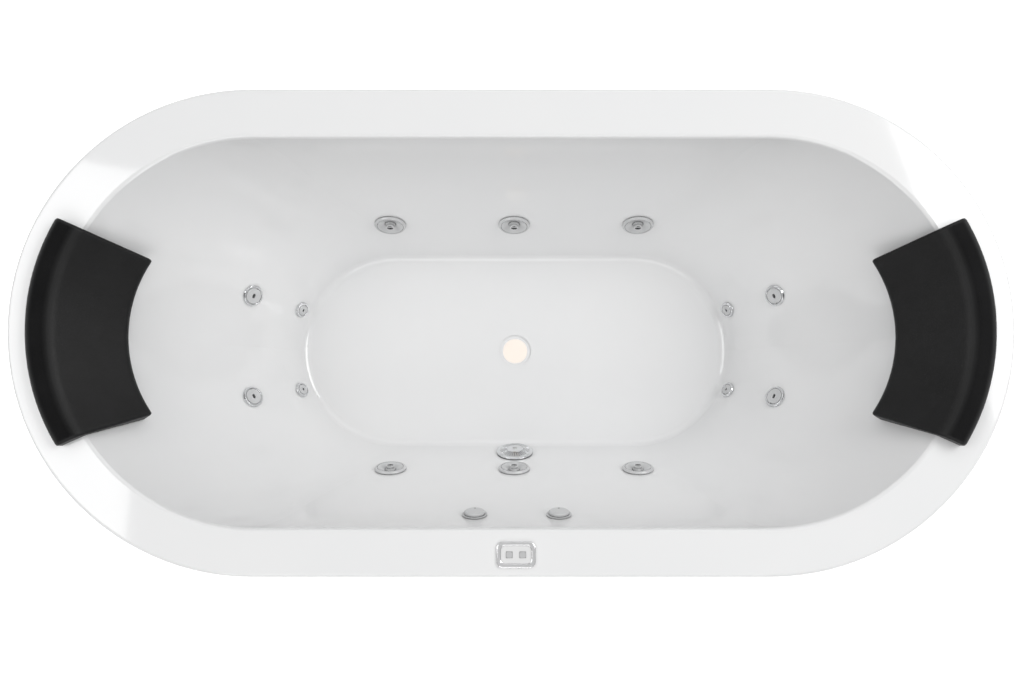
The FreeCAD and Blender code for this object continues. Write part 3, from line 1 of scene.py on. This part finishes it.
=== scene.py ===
import bmesh
import bpy
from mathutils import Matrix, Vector


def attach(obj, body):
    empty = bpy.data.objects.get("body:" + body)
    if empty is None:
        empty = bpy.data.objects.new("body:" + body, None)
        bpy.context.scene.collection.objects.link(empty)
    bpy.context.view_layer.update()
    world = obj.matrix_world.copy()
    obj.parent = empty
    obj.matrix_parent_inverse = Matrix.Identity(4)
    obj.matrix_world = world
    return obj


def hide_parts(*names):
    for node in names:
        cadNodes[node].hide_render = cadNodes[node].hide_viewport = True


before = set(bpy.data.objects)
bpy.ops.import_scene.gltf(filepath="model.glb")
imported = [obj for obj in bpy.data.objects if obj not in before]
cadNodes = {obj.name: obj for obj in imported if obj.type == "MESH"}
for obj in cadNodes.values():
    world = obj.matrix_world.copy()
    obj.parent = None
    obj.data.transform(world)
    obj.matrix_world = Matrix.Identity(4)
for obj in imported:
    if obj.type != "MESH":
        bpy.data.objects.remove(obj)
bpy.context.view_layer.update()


# Node helpers

def addNode(tree, kind, **values):
    node = tree.nodes.new(kind)
    for name, value in values.items():
        setattr(node, name, value)
    return node


def feed(tree, source, target):
    tree.links.new(source, target)


def setInputs(node, values):
    for name, value in values.items():
        node.inputs[name].default_value = value
    return node


def rampOf(tree, factor, stops):
    ramp = addNode(tree, "ShaderNodeValToRGB")
    elements = ramp.color_ramp.elements
    while len(elements) < len(stops):
        elements.new(0.5)
    for element, (place, shade) in zip(elements, stops):
        element.position = place
        element.color = (shade, shade, shade, 1)
    feed(tree, factor, ramp.inputs["Fac"])
    return ramp.outputs["Color"]


def spread(tree, source, low, high, fromLow=0.0, fromHigh=1.0):
    node = addNode(tree, "ShaderNodeMapRange", clamp=True)
    setInputs(node, {"From Min": fromLow, "From Max": fromHigh, "To Min": low, "To Max": high})
    feed(tree, source, node.inputs["Value"])
    return node.outputs["Result"]


def combined(tree, operation, first, second, **values):
    node = addNode(tree, "ShaderNodeMath", operation=operation, **values)
    feed(tree, first, node.inputs[0])
    feed(tree, second, node.inputs[1])
    return node.outputs[0]


def blended(tree, mask, first, second):
    mix = addNode(tree, "ShaderNodeMix", data_type="RGBA")
    feed(tree, mask, mix.inputs["Factor"])
    for socket, colour in ((mix.inputs["A"], first), (mix.inputs["B"], second)):
        if isinstance(colour, tuple):
            socket.default_value = (*colour, 1)
        else:
            feed(tree, colour, socket)
    return mix.outputs["Result"]


def bumped(tree, height, strength, distance, under=None):
    bump = setInputs(addNode(tree, "ShaderNodeBump"), {"Strength": strength, "Distance": distance})
    feed(tree, height, bump.inputs["Height"])
    if under:
        feed(tree, under, bump.inputs["Normal"])
    return bump.outputs["Normal"]


def mapped(tree, vector, **values):
    mapping = setInputs(addNode(tree, "ShaderNodeMapping"), values)
    feed(tree, vector, mapping.inputs["Vector"])
    return mapping.outputs["Vector"]


def noiseOn(tree, vector, **values):
    noise = setInputs(addNode(tree, "ShaderNodeTexNoise"), values)
    feed(tree, vector, noise.inputs["Vector"])
    return noise.outputs["Fac"]


def upwardness(tree):  # 1 where a face looks straight up
    facing = addNode(tree, "ShaderNodeNewGeometry")
    parts = addNode(tree, "ShaderNodeSeparateXYZ")
    feed(tree, facing.outputs["Normal"], parts.inputs["Vector"])
    return parts.outputs["Z"]


def scaledBy(tone, factor):
    return tuple(c * factor for c in tone)


# Shared effects, each a node group with named inputs and outputs

def newGroup(name, inputs, outputs):
    group = bpy.data.node_groups.new(name, "ShaderNodeTree")
    for label, value in inputs.items():
        socket = group.interface.new_socket(label, in_out="INPUT", socket_type="NodeSocketFloat")
        socket.default_value = value
    for label in outputs:
        group.interface.new_socket(label, in_out="OUTPUT", socket_type="NodeSocketFloat")
    return group, addNode(group, "NodeGroupInput"), addNode(group, "NodeGroupOutput")


def objectPlace(tree, scale):
    place = addNode(tree, "ShaderNodeTexCoord")
    sized = addNode(tree, "ShaderNodeVectorMath", operation="SCALE")
    feed(tree, place.outputs["Object"], sized.inputs[0])
    feed(tree, scale, sized.inputs["Scale"])
    return sized.outputs["Vector"]


def makeMottle():  # slow uneven tone, as in any moulded or painted face
    group, inside, outside = newGroup("mottle", {"Scale": 20.0, "Contrast": 1.0}, ["Mask"])
    noise = noiseOn(group, objectPlace(group, inside.outputs["Scale"]), Scale=1.0, Detail=5.0, Roughness=0.55)
    middle = 0.5
    centred = addNode(group, "ShaderNodeMath", operation="SUBTRACT")
    centred.inputs[1].default_value = middle
    feed(group, noise, centred.inputs[0])
    stretched = addNode(group, "ShaderNodeMath", operation="MULTIPLY_ADD", use_clamp=True)
    stretched.inputs[2].default_value = middle
    feed(group, centred.outputs[0], stretched.inputs[0])
    feed(group, inside.outputs["Contrast"], stretched.inputs[1])
    feed(group, stretched.outputs[0], outside.inputs["Mask"])
    return group


def makePebbles():  # small rounded grain of a moulded skin
    group, inside, outside = newGroup("pebbles", {"Scale": 900.0, "Unevenness": 0.4}, ["Height", "Mask"])
    place = objectPlace(group, inside.outputs["Scale"])
    cells = setInputs(addNode(group, "ShaderNodeTexVoronoi", feature="SMOOTH_F1"),
                      {"Scale": 1.0, "Smoothness": 0.7, "Randomness": 1.0})
    feed(group, place, cells.inputs["Vector"])
    noise = noiseOn(group, place, Scale=0.45, Detail=3.0)
    raisedPart = addNode(group, "ShaderNodeMath", operation="SUBTRACT")
    raisedPart.inputs[0].default_value = 1.0
    feed(group, cells.outputs["Distance"], raisedPart.inputs[1])
    mixed = addNode(group, "ShaderNodeMix", data_type="FLOAT")
    feed(group, inside.outputs["Unevenness"], mixed.inputs["Factor"])
    feed(group, raisedPart.outputs[0], mixed.inputs["A"])
    feed(group, noise, mixed.inputs["B"])
    feed(group, mixed.outputs["Result"], outside.inputs["Height"])
    feed(group, noise, outside.inputs["Mask"])
    return group


def makeScuffs():  # sparse hairline marks of handling and cleaning
    group, inside, outside = newGroup("scuffs", {"Scale": 60.0, "Amount": 0.3}, ["Mask"])
    drawnOut = mapped(group, objectPlace(group, inside.outputs["Scale"]),
                      Rotation=(0.4, 0.7, 0.9), Scale=(0.12, 2.6, 1.0))
    noise = noiseOn(group, drawnOut, Scale=3.0, Detail=8.0, Roughness=0.7)
    lines = spread(group, noise, 0.0, 1.0, fromLow=0.62, fromHigh=0.72)
    scaled = combined(group, "MULTIPLY", lines, inside.outputs["Amount"], use_clamp=True)
    feed(group, scaled, outside.inputs["Mask"])
    return group


def makeDust():  # fine dust lying on what faces up
    group, inside, outside = newGroup("dust", {"Scale": 40.0, "Amount": 0.3}, ["Mask"])
    upward = spread(group, upwardness(group), 0.0, 1.0, fromLow=0.35)
    noise = noiseOn(group, objectPlace(group, inside.outputs["Scale"]), Scale=1.0, Detail=9.0, Roughness=0.72)
    patches = spread(group, noise, 0.0, 1.0, fromLow=0.4, fromHigh=0.75)
    both = combined(group, "MULTIPLY", upward, patches)
    scaled = combined(group, "MULTIPLY", both, inside.outputs["Amount"], use_clamp=True)
    feed(group, scaled, outside.inputs["Mask"])
    return group


def makeOcclusionShade():  # how deep a point lies in a hole, gap or corner, used to paint shade there
    group, inside, outside = newGroup("occlusionShade", {"Reach": 0.006, "Amount": 1.0}, ["Mask"])
    occlusion = addNode(group, "ShaderNodeAmbientOcclusion", samples=6, only_local=False)
    feed(group, inside.outputs["Reach"], occlusion.inputs["Distance"])
    deep = spread(group, occlusion.outputs["AO"], 1.0, 0.0, fromLow=0.35, fromHigh=0.80)
    scaled = combined(group, "MULTIPLY", deep, inside.outputs["Amount"], use_clamp=True)
    feed(group, scaled, outside.inputs["Mask"])
    return group


mottle, pebbles, scuffs, dust = makeMottle(), makePebbles(), makeScuffs(), makeDust()
occlusionShade = makeOcclusionShade()


def effect(tree, group, **values):
    node = addNode(tree, "ShaderNodeGroup", node_tree=group)
    return setInputs(node, values)


def newMaterial(name, **values):
    material = bpy.data.materials.new(name)
    material.use_nodes = True
    tree = material.node_tree
    shader = next(node for node in tree.nodes if node.type == "BSDF_PRINCIPLED")
    return material, tree, setInputs(shader, values)


# Materials of the bath itself

acrylicLook = {
    "white": (0.80, 0.80, 0.80), "cool": (0.765, 0.77, 0.775), "toneScale": 2.2, "toneContrast": 2.0,
    "markScale": 14.0, "markAmount": 0.25, "smooth": 0.07, "dull": 0.13,
    "peelScale": 55.0, "peelContrast": 1.2, "peelStrength": 0.25, "peelDepth": 0.00012,
    "index": 1.49, "coat": 0.6, "coatRoughness": 0.035,
}


def polishedAcrylic(look=acrylicLook):
    material, tree, shader = newMaterial("polishedAcrylic", **{
        "IOR": look["index"], "Coat Weight": look["coat"], "Coat Roughness": look["coatRoughness"]})
    tone = effect(tree, mottle, Scale=look["toneScale"], Contrast=look["toneContrast"])
    feed(tree, blended(tree, tone.outputs["Mask"], look["white"], look["cool"]), shader.inputs["Base Color"])
    marks = effect(tree, scuffs, Scale=look["markScale"], Amount=look["markAmount"])
    feed(tree, spread(tree, marks.outputs["Mask"], look["smooth"], look["dull"]), shader.inputs["Roughness"])
    peel = effect(tree, mottle, Scale=look["peelScale"], Contrast=look["peelContrast"])
    skin = bumped(tree, peel.outputs["Mask"], look["peelStrength"], look["peelDepth"])
    feed(tree, skin, shader.inputs["Normal"])
    return material


laminateLook = {
    "resin": (0.62, 0.60, 0.50), "strands": (0.80, 0.79, 0.72), "pooled": (0.50, 0.47, 0.37),
    "turns": (0.3, 1.4, 2.5), "strandScale": 190.0, "strandStrength": 0.6, "strandDepth": 0.0009,
    "poolScale": 9.0, "poolContrast": 2.5, "poolShare": 0.35, "poolStrength": 0.5, "poolDepth": 0.004,
    "smooth": 0.38, "dull": 0.72, "coat": 0.15, "coatRoughness": 0.4,
}


def sprayedLaminate(look=laminateLook):  # chopped strands rolled into resin
    material, tree, shader = newMaterial("sprayedLaminate", **{
        "Coat Weight": look["coat"], "Coat Roughness": look["coatRoughness"]})
    place = addNode(tree, "ShaderNodeTexCoord")
    strands = None
    for turn in look["turns"]:
        laid = mapped(tree, place.outputs["Object"],
                      Rotation=(turn, 0.5 * turn, 1.7 * turn), Scale=(0.18, 1.0, 1.0))
        noise = noiseOn(tree, laid, Scale=look["strandScale"], Detail=2.0, Distortion=0.4)
        layer = spread(tree, noise, 0.0, 1.0, fromLow=0.52, fromHigh=0.66)
        strands = combined(tree, "MAXIMUM", strands, layer) if strands else layer
    pools = effect(tree, mottle, Scale=look["poolScale"], Contrast=look["poolContrast"])
    body = blended(tree, strands, look["resin"], look["strands"])
    share = spread(tree, pools.outputs["Mask"], 0.0, look["poolShare"])
    feed(tree, blended(tree, share, body, look["pooled"]), shader.inputs["Base Color"])
    feed(tree, spread(tree, strands, look["smooth"], look["dull"]), shader.inputs["Roughness"])
    waves = bumped(tree, pools.outputs["Mask"], look["poolStrength"], look["poolDepth"])
    relief = bumped(tree, strands, look["strandStrength"], look["strandDepth"], waves)
    feed(tree, relief, shader.inputs["Normal"])
    return material


# Plastics, rubber, metal and wood

plasticLook = {  # what every moulded plastic shares, with the near-black colour of painted shade in openings
    "toneScale": 26.0, "toneContrast": 1.6, "markScale": 70.0, "markAmount": 0.4, "markShare": 0.3,
    "paleShare": 0.8, "paleLift": 0.1, "dustScale": 55.0, "dust": (0.42, 0.40, 0.37),
    "paintedShadeInOpenings": (0.006, 0.006, 0.006), "grainUnevenness": 0.5, "grainStrength": 0.3,
    "index": 1.5, "coatRoughness": 0.06,
}


def mouldedPlastic(name, light, dark, smooth, dull, grainScale=1400.0, grainDepth=0.00005, dusty=0.0,
                   coat=0.0, reach=0.0, look=plasticLook):
    material, tree, shader = newMaterial(name, **{
        "IOR": look["index"], "Coat Weight": coat, "Coat Roughness": look["coatRoughness"]})
    tone = effect(tree, mottle, Scale=look["toneScale"], Contrast=look["toneContrast"])
    body = blended(tree, tone.outputs["Mask"], light, dark)
    marks = effect(tree, scuffs, Scale=look["markScale"], Amount=look["markAmount"])
    paler = tuple(c * look["paleShare"] + look["paleLift"] for c in light)
    body = blended(tree, spread(tree, marks.outputs["Mask"], 0.0, look["markShare"]), body, paler)
    if dusty:
        film = effect(tree, dust, Scale=look["dustScale"], Amount=dusty)
        body = blended(tree, film.outputs["Mask"], body, look["dust"])
    if reach:  # painted shade: holes, gaps and corners darkened toward near black by an occlusion mask
        shade = effect(tree, occlusionShade, Reach=reach, Amount=1.0)
        body = blended(tree, shade.outputs["Mask"], body, look["paintedShadeInOpenings"])
    feed(tree, body, shader.inputs["Base Color"])
    feed(tree, spread(tree, tone.outputs["Mask"], smooth, dull), shader.inputs["Roughness"])
    grain = effect(tree, pebbles, Scale=grainScale, Unevenness=look["grainUnevenness"])
    skin = bumped(tree, grain.outputs["Height"], look["grainStrength"], grainDepth)
    feed(tree, skin, shader.inputs["Normal"])
    return material


rubberLook = {
    "tone": (0.018, 0.018, 0.018), "lighter": 1.5, "toneScale": 45.0, "toneContrast": 1.5,
    "dustScale": 80.0, "dustAmount": 0.35, "dust": (0.2, 0.2, 0.19), "dull": 0.72, "sheenShare": 0.12,
    "grainScale": 1800.0, "grainUnevenness": 0.6, "grainStrength": 0.4, "grainDepth": 0.00006, "index": 1.45,
}


def softRubber(name, look=rubberLook):
    material, tree, shader = newMaterial(name, **{"IOR": look["index"]})
    uneven = effect(tree, mottle, Scale=look["toneScale"], Contrast=look["toneContrast"])
    film = effect(tree, dust, Scale=look["dustScale"], Amount=look["dustAmount"])
    body = blended(tree, uneven.outputs["Mask"], look["tone"], scaledBy(look["tone"], look["lighter"]))
    feed(tree, blended(tree, film.outputs["Mask"], body, look["dust"]), shader.inputs["Base Color"])
    roughness = spread(tree, uneven.outputs["Mask"], look["dull"] - look["sheenShare"], look["dull"])
    feed(tree, roughness, shader.inputs["Roughness"])
    grain = effect(tree, pebbles, Scale=look["grainScale"], Unevenness=look["grainUnevenness"])
    skin = bumped(tree, grain.outputs["Height"], look["grainStrength"], look["grainDepth"])
    feed(tree, skin, shader.inputs["Normal"])
    return material


metalLook = {  # what every metal shares
    "toneScale": 30.0, "toneContrast": 1.8, "markScale": 80.0, "markAmount": 0.5,
    "crystalShare": 0.6, "crystalShade": 0.72, "reliefStrength": 0.25, "reliefDepth": 0.00004,
}


def metal(name, bright, dull, smooth, rough, lineScale=0.0, spangle=0.0, edge=0.0, look=metalLook):
    material, tree, shader = newMaterial(name, Metallic=1.0)
    tone = effect(tree, mottle, Scale=look["toneScale"], Contrast=look["toneContrast"])
    body = blended(tree, tone.outputs["Mask"], bright, dull)
    height = tone.outputs["Mask"]
    place = addNode(tree, "ShaderNodeTexCoord")
    if spangle:  # crystals of a hot-dip zinc coat
        cells = setInputs(addNode(tree, "ShaderNodeTexVoronoi"), {"Scale": spangle})
        feed(tree, place.outputs["Object"], cells.inputs["Vector"])
        parts = addNode(tree, "ShaderNodeSeparateColor")
        feed(tree, cells.outputs["Color"], parts.inputs["Color"])
        crystals = spread(tree, parts.outputs[0], 0.0, look["crystalShare"])
        body = blended(tree, crystals, body, scaledBy(dull, look["crystalShade"]))
        height = parts.outputs[1]
    if lineScale:  # fine turning or grinding lines
        along = mapped(tree, place.outputs["Object"], Scale=(0.05, 1.0, 0.05))
        height = noiseOn(tree, along, Scale=lineScale, Detail=3.0)
    feed(tree, body, shader.inputs["Base Color"])
    marks = effect(tree, scuffs, Scale=look["markScale"], Amount=look["markAmount"])
    worn = combined(tree, "MAXIMUM", height, marks.outputs["Mask"])
    feed(tree, spread(tree, worn, smooth, rough), shader.inputs["Roughness"])
    eased = None
    if edge:  # plating rounds every edge it runs over
        rounding = setInputs(addNode(tree, "ShaderNodeBevel", samples=6), {"Radius": edge})
        eased = rounding.outputs["Normal"]
    relief = bumped(tree, height, look["reliefStrength"], look["reliefDepth"], eased)
    feed(tree, relief, shader.inputs["Normal"])
    return material


plywoodLook = {
    "early": (0.60, 0.43, 0.25), "late": (0.38, 0.24, 0.12), "pores": (0.26, 0.16, 0.08), "poreShare": 0.45,
    "drawnOut": (1.0, 9.0, 60.0), "ringScale": 7.0, "fibresPerRing": 14, "smooth": 0.42, "dull": 0.62,
    "reliefStrength": 0.4, "reliefDepth": 0.0002, "coat": 0.2, "coatRoughness": 0.35,
}


def sealedPlywood(look=plywoodLook):
    material, tree, shader = newMaterial("sealedPlywood", **{
        "Coat Weight": look["coat"], "Coat Roughness": look["coatRoughness"]})
    place = addNode(tree, "ShaderNodeTexCoord")
    along = mapped(tree, place.outputs["Object"], Scale=look["drawnOut"])
    rings = noiseOn(tree, along, Scale=look["ringScale"], Detail=6.0, Distortion=1.2)
    fibres = noiseOn(tree, along, Scale=look["ringScale"] * look["fibresPerRing"], Detail=4.0)
    grain = spread(tree, rings, 0.0, 1.0, fromLow=0.38, fromHigh=0.66)
    body = blended(tree, grain, look["early"], look["late"])
    pores = spread(tree, fibres, 0.0, look["poreShare"], fromLow=0.5, fromHigh=0.75)
    feed(tree, blended(tree, pores, body, look["pores"]), shader.inputs["Base Color"])
    feed(tree, spread(tree, grain, look["smooth"], look["dull"]), shader.inputs["Roughness"])
    feed(tree, bumped(tree, fibres, look["reliefStrength"], look["reliefDepth"]), shader.inputs["Normal"])
    return material


foamLook = {
    "skin": (0.006, 0.006, 0.0062), "worn": (0.010, 0.010, 0.0104), "toneScale": 16.0, "toneContrast": 1.7,
    "crestLift": 1.5, "crestShare": 0.5, "matt": 0.58, "polished": 0.38,
    "faceGloss": 0.27, "rollGloss": 0.02, "faceSlope": 0.93, "rollSlope": 0.995,
    "grainScale": 620.0, "grainUnevenness": 0.35, "grainStrength": 0.7, "grainDepth": 0.00028,
    "fineScale": 3.2, "fineUnevenness": 0.6, "fineStrength": 0.35, "fineDepth": 0.3,
    "index": 1.48, "gloss": 0.32, "sheen": 0.03, "sheenRoughness": 0.45,
}


def grainedFoam(name, paintedLightFactor, look=foamLook):  # self-skinning foam, grained in its mould
    material, tree, shader = newMaterial(name, **{
        "IOR": look["index"], "Specular IOR Level": look["gloss"],
        "Sheen Weight": look["sheen"], "Sheen Roughness": look["sheenRoughness"]})
    # the skin colours are scaled per pad: painted light, since both pads are the same foam
    skin, worn = (scaledBy(look[key], paintedLightFactor) for key in ("skin", "worn"))
    tone = effect(tree, mottle, Scale=look["toneScale"], Contrast=look["toneContrast"])
    grain = effect(tree, pebbles, Scale=look["grainScale"], Unevenness=look["grainUnevenness"])
    body = blended(tree, tone.outputs["Mask"], skin, worn)
    crests = spread(tree, grain.outputs["Height"], 0.0, look["crestShare"], fromLow=0.5, fromHigh=0.9)
    feed(tree, blended(tree, crests, body, scaledBy(worn, look["crestLift"])), shader.inputs["Base Color"])
    roughness = spread(tree, grain.outputs["Mask"], look["polished"], look["matt"])
    feed(tree, roughness, shader.inputs["Roughness"])
    # painted shade: the reflection is turned down where the pad looks nearly straight up, so that part reads
    # darker than the sloping face
    gloss = spread(tree, upwardness(tree), look["faceGloss"], look["rollGloss"],
                   fromLow=look["faceSlope"], fromHigh=look["rollSlope"])
    feed(tree, gloss, shader.inputs["Specular IOR Level"])
    fine = effect(tree, pebbles, Scale=look["grainScale"] * look["fineScale"],
                  Unevenness=look["fineUnevenness"])
    under = bumped(tree, fine.outputs["Height"], look["fineStrength"], look["grainDepth"] * look["fineDepth"])
    relief = bumped(tree, grain.outputs["Height"], look["grainStrength"], look["grainDepth"], under)
    feed(tree, relief, shader.inputs["Normal"])
    return material


print("materials: shared effects ready")


# Finishes onto the CAD nodes

plastics = {
    # jetTrim and jetBall carry a reach, so their openings and gaps get painted shade
    "jetTrim": {"light": (0.60, 0.605, 0.61), "dark": (0.53, 0.535, 0.54),
                "smooth": 0.16, "dull": 0.26, "coat": 0.4, "reach": 0.006},
    "jetBall": {"light": (0.66, 0.665, 0.67), "dark": (0.60, 0.605, 0.61),
                "smooth": 0.14, "dull": 0.22, "coat": 0.5, "reach": 0.012},
    "weldedPvc": {"light": (0.74, 0.74, 0.71), "dark": (0.66, 0.66, 0.62),
                  "smooth": 0.3, "dull": 0.42, "dusty": 0.5},
    "greyMoulding": {"light": (0.30, 0.305, 0.31), "dark": (0.25, 0.255, 0.26),
                     "smooth": 0.38, "dull": 0.52, "dusty": 0.4},
    "blackMoulding": {"light": (0.022, 0.022, 0.023), "dark": (0.03, 0.03, 0.031),
                      "smooth": 0.36, "dull": 0.5, "dusty": 0.35},
    "milkyTube": {"light": (0.58, 0.60, 0.60), "dark": (0.50, 0.52, 0.52),
                  "smooth": 0.2, "dull": 0.34, "dusty": 0.2, "coat": 0.3},
    "keypadOverlay": {"light": (0.72, 0.72, 0.72), "dark": (0.70, 0.70, 0.70),
                      "smooth": 0.2, "dull": 0.26, "coat": 0.3},
    "keyCap": {"light": (0.50, 0.50, 0.505), "dark": (0.46, 0.46, 0.465),
               "smooth": 0.42, "dull": 0.5, "grainScale": 2600.0},
    "jetBody": {"light": (0.085, 0.087, 0.09), "dark": (0.07, 0.072, 0.075),
                "smooth": 0.3, "dull": 0.44, "dusty": 0.3},
    "motorPaint": {"light": (0.035, 0.042, 0.055), "dark": (0.05, 0.058, 0.07), "smooth": 0.3, "dull": 0.46,
                   "grainScale": 700.0, "grainDepth": 0.00012, "dusty": 0.35, "coat": 0.2},
}

metals = {
    "polishedChrome": {"bright": (0.95, 0.95, 0.96), "dull": (0.90, 0.90, 0.91),
                       "smooth": 0.03, "rough": 0.09, "edge": 0.0040},
    "platedTrim": {"bright": (0.80, 0.81, 0.82), "dull": (0.74, 0.75, 0.76),
                   "smooth": 0.06, "rough": 0.16, "edge": 0.0012},
    "zincCoat": {"bright": (0.62, 0.64, 0.66), "dull": (0.50, 0.52, 0.54),
                 "smooth": 0.32, "rough": 0.5, "spangle": 90.0},
    "groundSteel": {"bright": (0.60, 0.60, 0.60), "dull": (0.50, 0.50, 0.50),
                    "smooth": 0.2, "rough": 0.36, "lineScale": 900.0},
}

finishedIn = {  # each finish and how its nodes' names begin; a later row wins
    "polishedAcrylic": ("acrylic_shell",),
    "sprayedLaminate": ("fibreglass_backing",),
    "jetTrim": ("side_jet_flanges", "side_jet_face", "back_jet_nozzle", "mini_jet_nozzle", "air_knob",
                "air_control_housings"),
    "platedTrim": ("back_jet_flanges", "mini_jet_flanges", "suction_cover"),
    "jetBall": ("side_jet_nozzle",),
    "weldedPvc": ("water_pipes",),
    "jetBody": ("side_jet_housings", "back_jet_housings", "mini_jet_housings", "suction_housing"),
    "milkyTube": ("air_lines",),
    "greyMoulding": ("lock_nuts", "keypad_housing", "pump_impeller", "control_box"),
    "blackMoulding": ("foot_", "pump_volute", "pump_fan_cover", "control_box_gland"),
    "blackRubber": ("jet_gaskets", "pump_foot"),
    "polishedChrome": ("keypad_bezel",),
    "keypadOverlay": ("keypad_panel",),
    "keyCap": ("keypad_button",),
    "zincCoat": ("cradle_frame",),
    "sealedPlywood": ("base_board", "equipment_shelves"),
    "motorPaint": ("motor_casing",),
    "groundSteel": ("motor_shaft", "suction_cover_screw"),
}


def makeFinishes():
    finishes = {name: mouldedPlastic(name, **values) for name, values in plastics.items()}
    finishes["blackRubber"] = softRubber("blackRubber")
    finishes.update({name: metal(name, **values) for name, values in metals.items()})
    for material in (polishedAcrylic(), sprayedLaminate(), sealedPlywood()):
        finishes[material.name] = material
    return finishes


def dressAll(finishes):
    for finish, prefixes in finishedIn.items():
        for name, item in cadNodes.items():
            if name.startswith(prefixes):
                item.data.materials.clear()
                item.data.materials.append(finishes[finish])


dressAll(makeFinishes())
print("finishes: every CAD node dressed")


# Head rests

padBuild = {"voxel": 0.003, "smoothing": 0.5, "passes": 3, "crown": 0.002, "inset": 0.0004}
# the second pad is painted 15% lighter than the first: painted light on one of two like pads
padPaintedLight = {1: 1.0, 2: 1.15}


def copyOf(node, name):
    piece = bpy.data.objects.new(name, cadNodes[node].data.copy())
    bpy.context.scene.collection.objects.link(piece)
    piece.data.materials.clear()
    return piece


def applyModifiers(piece):
    graph = bpy.context.evaluated_depsgraph_get()
    made = bpy.data.meshes.new_from_object(piece.evaluated_get(graph))
    piece.modifiers.clear()
    piece.data = made


def shapePad(piece, values):  # remeshed for an even skin, eased over, then crowned on the face
    remesh = piece.modifiers.new("evenSkin", "REMESH")
    remesh.mode = "VOXEL"
    remesh.voxel_size = values["voxel"]
    smooth = piece.modifiers.new("easedOver", "SMOOTH")
    smooth.factor = values["smoothing"]
    smooth.iterations = values["passes"]
    applyModifiers(piece)
    low, high = (Vector(c) for c in (piece.bound_box[0], piece.bound_box[6]))
    middle, reach = (low + high) / 2, (high - low) / 2
    mesh = bmesh.new()
    mesh.from_mesh(piece.data)
    mesh.normal_update()
    for vertex in mesh.verts:
        upward = max(vertex.normal.z, 0.0)
        away = vertex.co - middle
        inner = max(0.0, 1 - (away.x / reach.x) ** 2) * max(0.0, 1 - (away.y / reach.y) ** 2)
        vertex.co += vertex.normal * (values["crown"] * upward * inner - values["inset"])
    mesh.to_mesh(piece.data)
    mesh.free()
    for face in piece.data.polygons:
        face.use_smooth = True


def headRest(number, paintedLightFactor):
    node = f"headrest_{number}"
    pad = copyOf(node, f"headRestPad{number}")
    shapePad(pad, padBuild)
    pad.data.materials.append(grainedFoam(f"grainedFoam{number}", paintedLightFactor))
    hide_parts(node)
    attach(pad, node)


for number, paintedLightFactor in padPaintedLight.items():
    headRest(number, paintedLightFactor)
print("head rests: two pads shaped")


# Floor, light and camera

floorLook = {
    "size": 60.0, "colour": (0.93, 0.93, 0.93), "glow": 0.68, "roughness": 0.9,
    "toneScale": 0.8, "toneContrast": 0.6, "patchShade": 0.985,
}


def makeFloor(look=floorLook):
    mesh = bpy.data.meshes.new("studioFloor")
    half = look["size"] / 2
    corners = [(-half, -half, 0), (half, -half, 0), (half, half, 0), (-half, half, 0)]
    mesh.from_pydata(corners, [], [(0, 1, 2, 3)])
    floor = bpy.data.objects.new("studioFloor", mesh)
    bpy.context.scene.collection.objects.link(floor)
    material, tree, shader = newMaterial("paleFloor", Roughness=look["roughness"])
    setInputs(shader, {"Emission Color": (*look["colour"], 1), "Emission Strength": look["glow"]})
    tone = effect(tree, mottle, Scale=look["toneScale"], Contrast=look["toneContrast"])
    patched = scaledBy(look["colour"], look["patchShade"])
    feed(tree, blended(tree, tone.outputs["Mask"], look["colour"], patched), shader.inputs["Base Color"])
    mesh.materials.append(material)


lightPlan = {  # name: place, aim, size across and along, watts
    "rightPanel": ((3.0, 1.0, 3.6), (0.2, 0.0, 0.3), (2.6, 2.2), 84.0),
    "leftPanel": ((-3.0, 0.2, 3.8), (-0.2, 0.0, 0.3), (2.2, 2.2), 44.0),
    "backPanel": ((0.4, 3.2, 3.4), (0.0, 0.0, 0.3), (3.4, 1.6), 14.0),
    "frontPanel": ((-0.3, -3.2, 3.4), (0.0, 0.0, 0.3), (3.4, 1.6), 34.0),
}


def makeLights(plan=lightPlan):
    for name, (place, aim, size, power) in plan.items():
        lamp = bpy.data.lights.new(name, "AREA")
        lamp.shape = "RECTANGLE"
        lamp.size, lamp.size_y = size
        lamp.energy = power
        item = bpy.data.objects.new(name, lamp)
        item.location = place
        item.rotation_euler = (Vector(aim) - Vector(place)).to_track_quat("-Z", "Y").to_euler()
        bpy.context.scene.collection.objects.link(item)


worldLook = {  # height above the horizon and brightness there
    "horizon": (0.0, 0.04), "low": (0.24, 0.08), "ceiling": (0.42, 0.56),
}


def makeWorld(look=worldLook):
    world = bpy.data.worlds.new("studioSky")
    world.use_nodes = True
    bpy.context.scene.world = world
    tree = world.node_tree
    backdrop = next(node for node in tree.nodes if node.type == "BACKGROUND")
    place = addNode(tree, "ShaderNodeTexCoord")
    parts = addNode(tree, "ShaderNodeSeparateXYZ")
    feed(tree, place.outputs["Generated"], parts.inputs["Vector"])
    shade = rampOf(tree, parts.outputs["Z"], list(look.values()))
    feed(tree, shade, backdrop.inputs["Color"])


cameraPlan = {  # straight down over the rim; the shift puts the bath where the photograph has it
    "across": 0.0392, "along": -0.1729, "rimHeight": 0.560, "aboveRim": 1.870,
    "lens": 36.9, "sensor": 36.0, "shiftX": -0.0205, "shiftY": 0.0874, "clipEnd": 40.0,
}


def makeCamera(plan=cameraPlan):
    data = bpy.data.cameras.new("overheadCamera")
    data.lens = plan["lens"]
    data.sensor_width = plan["sensor"]
    data.shift_x, data.shift_y = plan["shiftX"], plan["shiftY"]
    data.clip_end = plan["clipEnd"]
    camera = bpy.data.objects.new("overheadCamera", data)
    camera.location = (plan["across"], plan["along"], plan["rimHeight"] + plan["aboveRim"])
    bpy.context.scene.collection.objects.link(camera)
    bpy.context.scene.camera = camera


makeFloor()
makeLights()
makeWorld()
makeCamera()
bpy.context.scene.view_settings.view_transform = "Standard"
print("stage: floor, light and camera set")
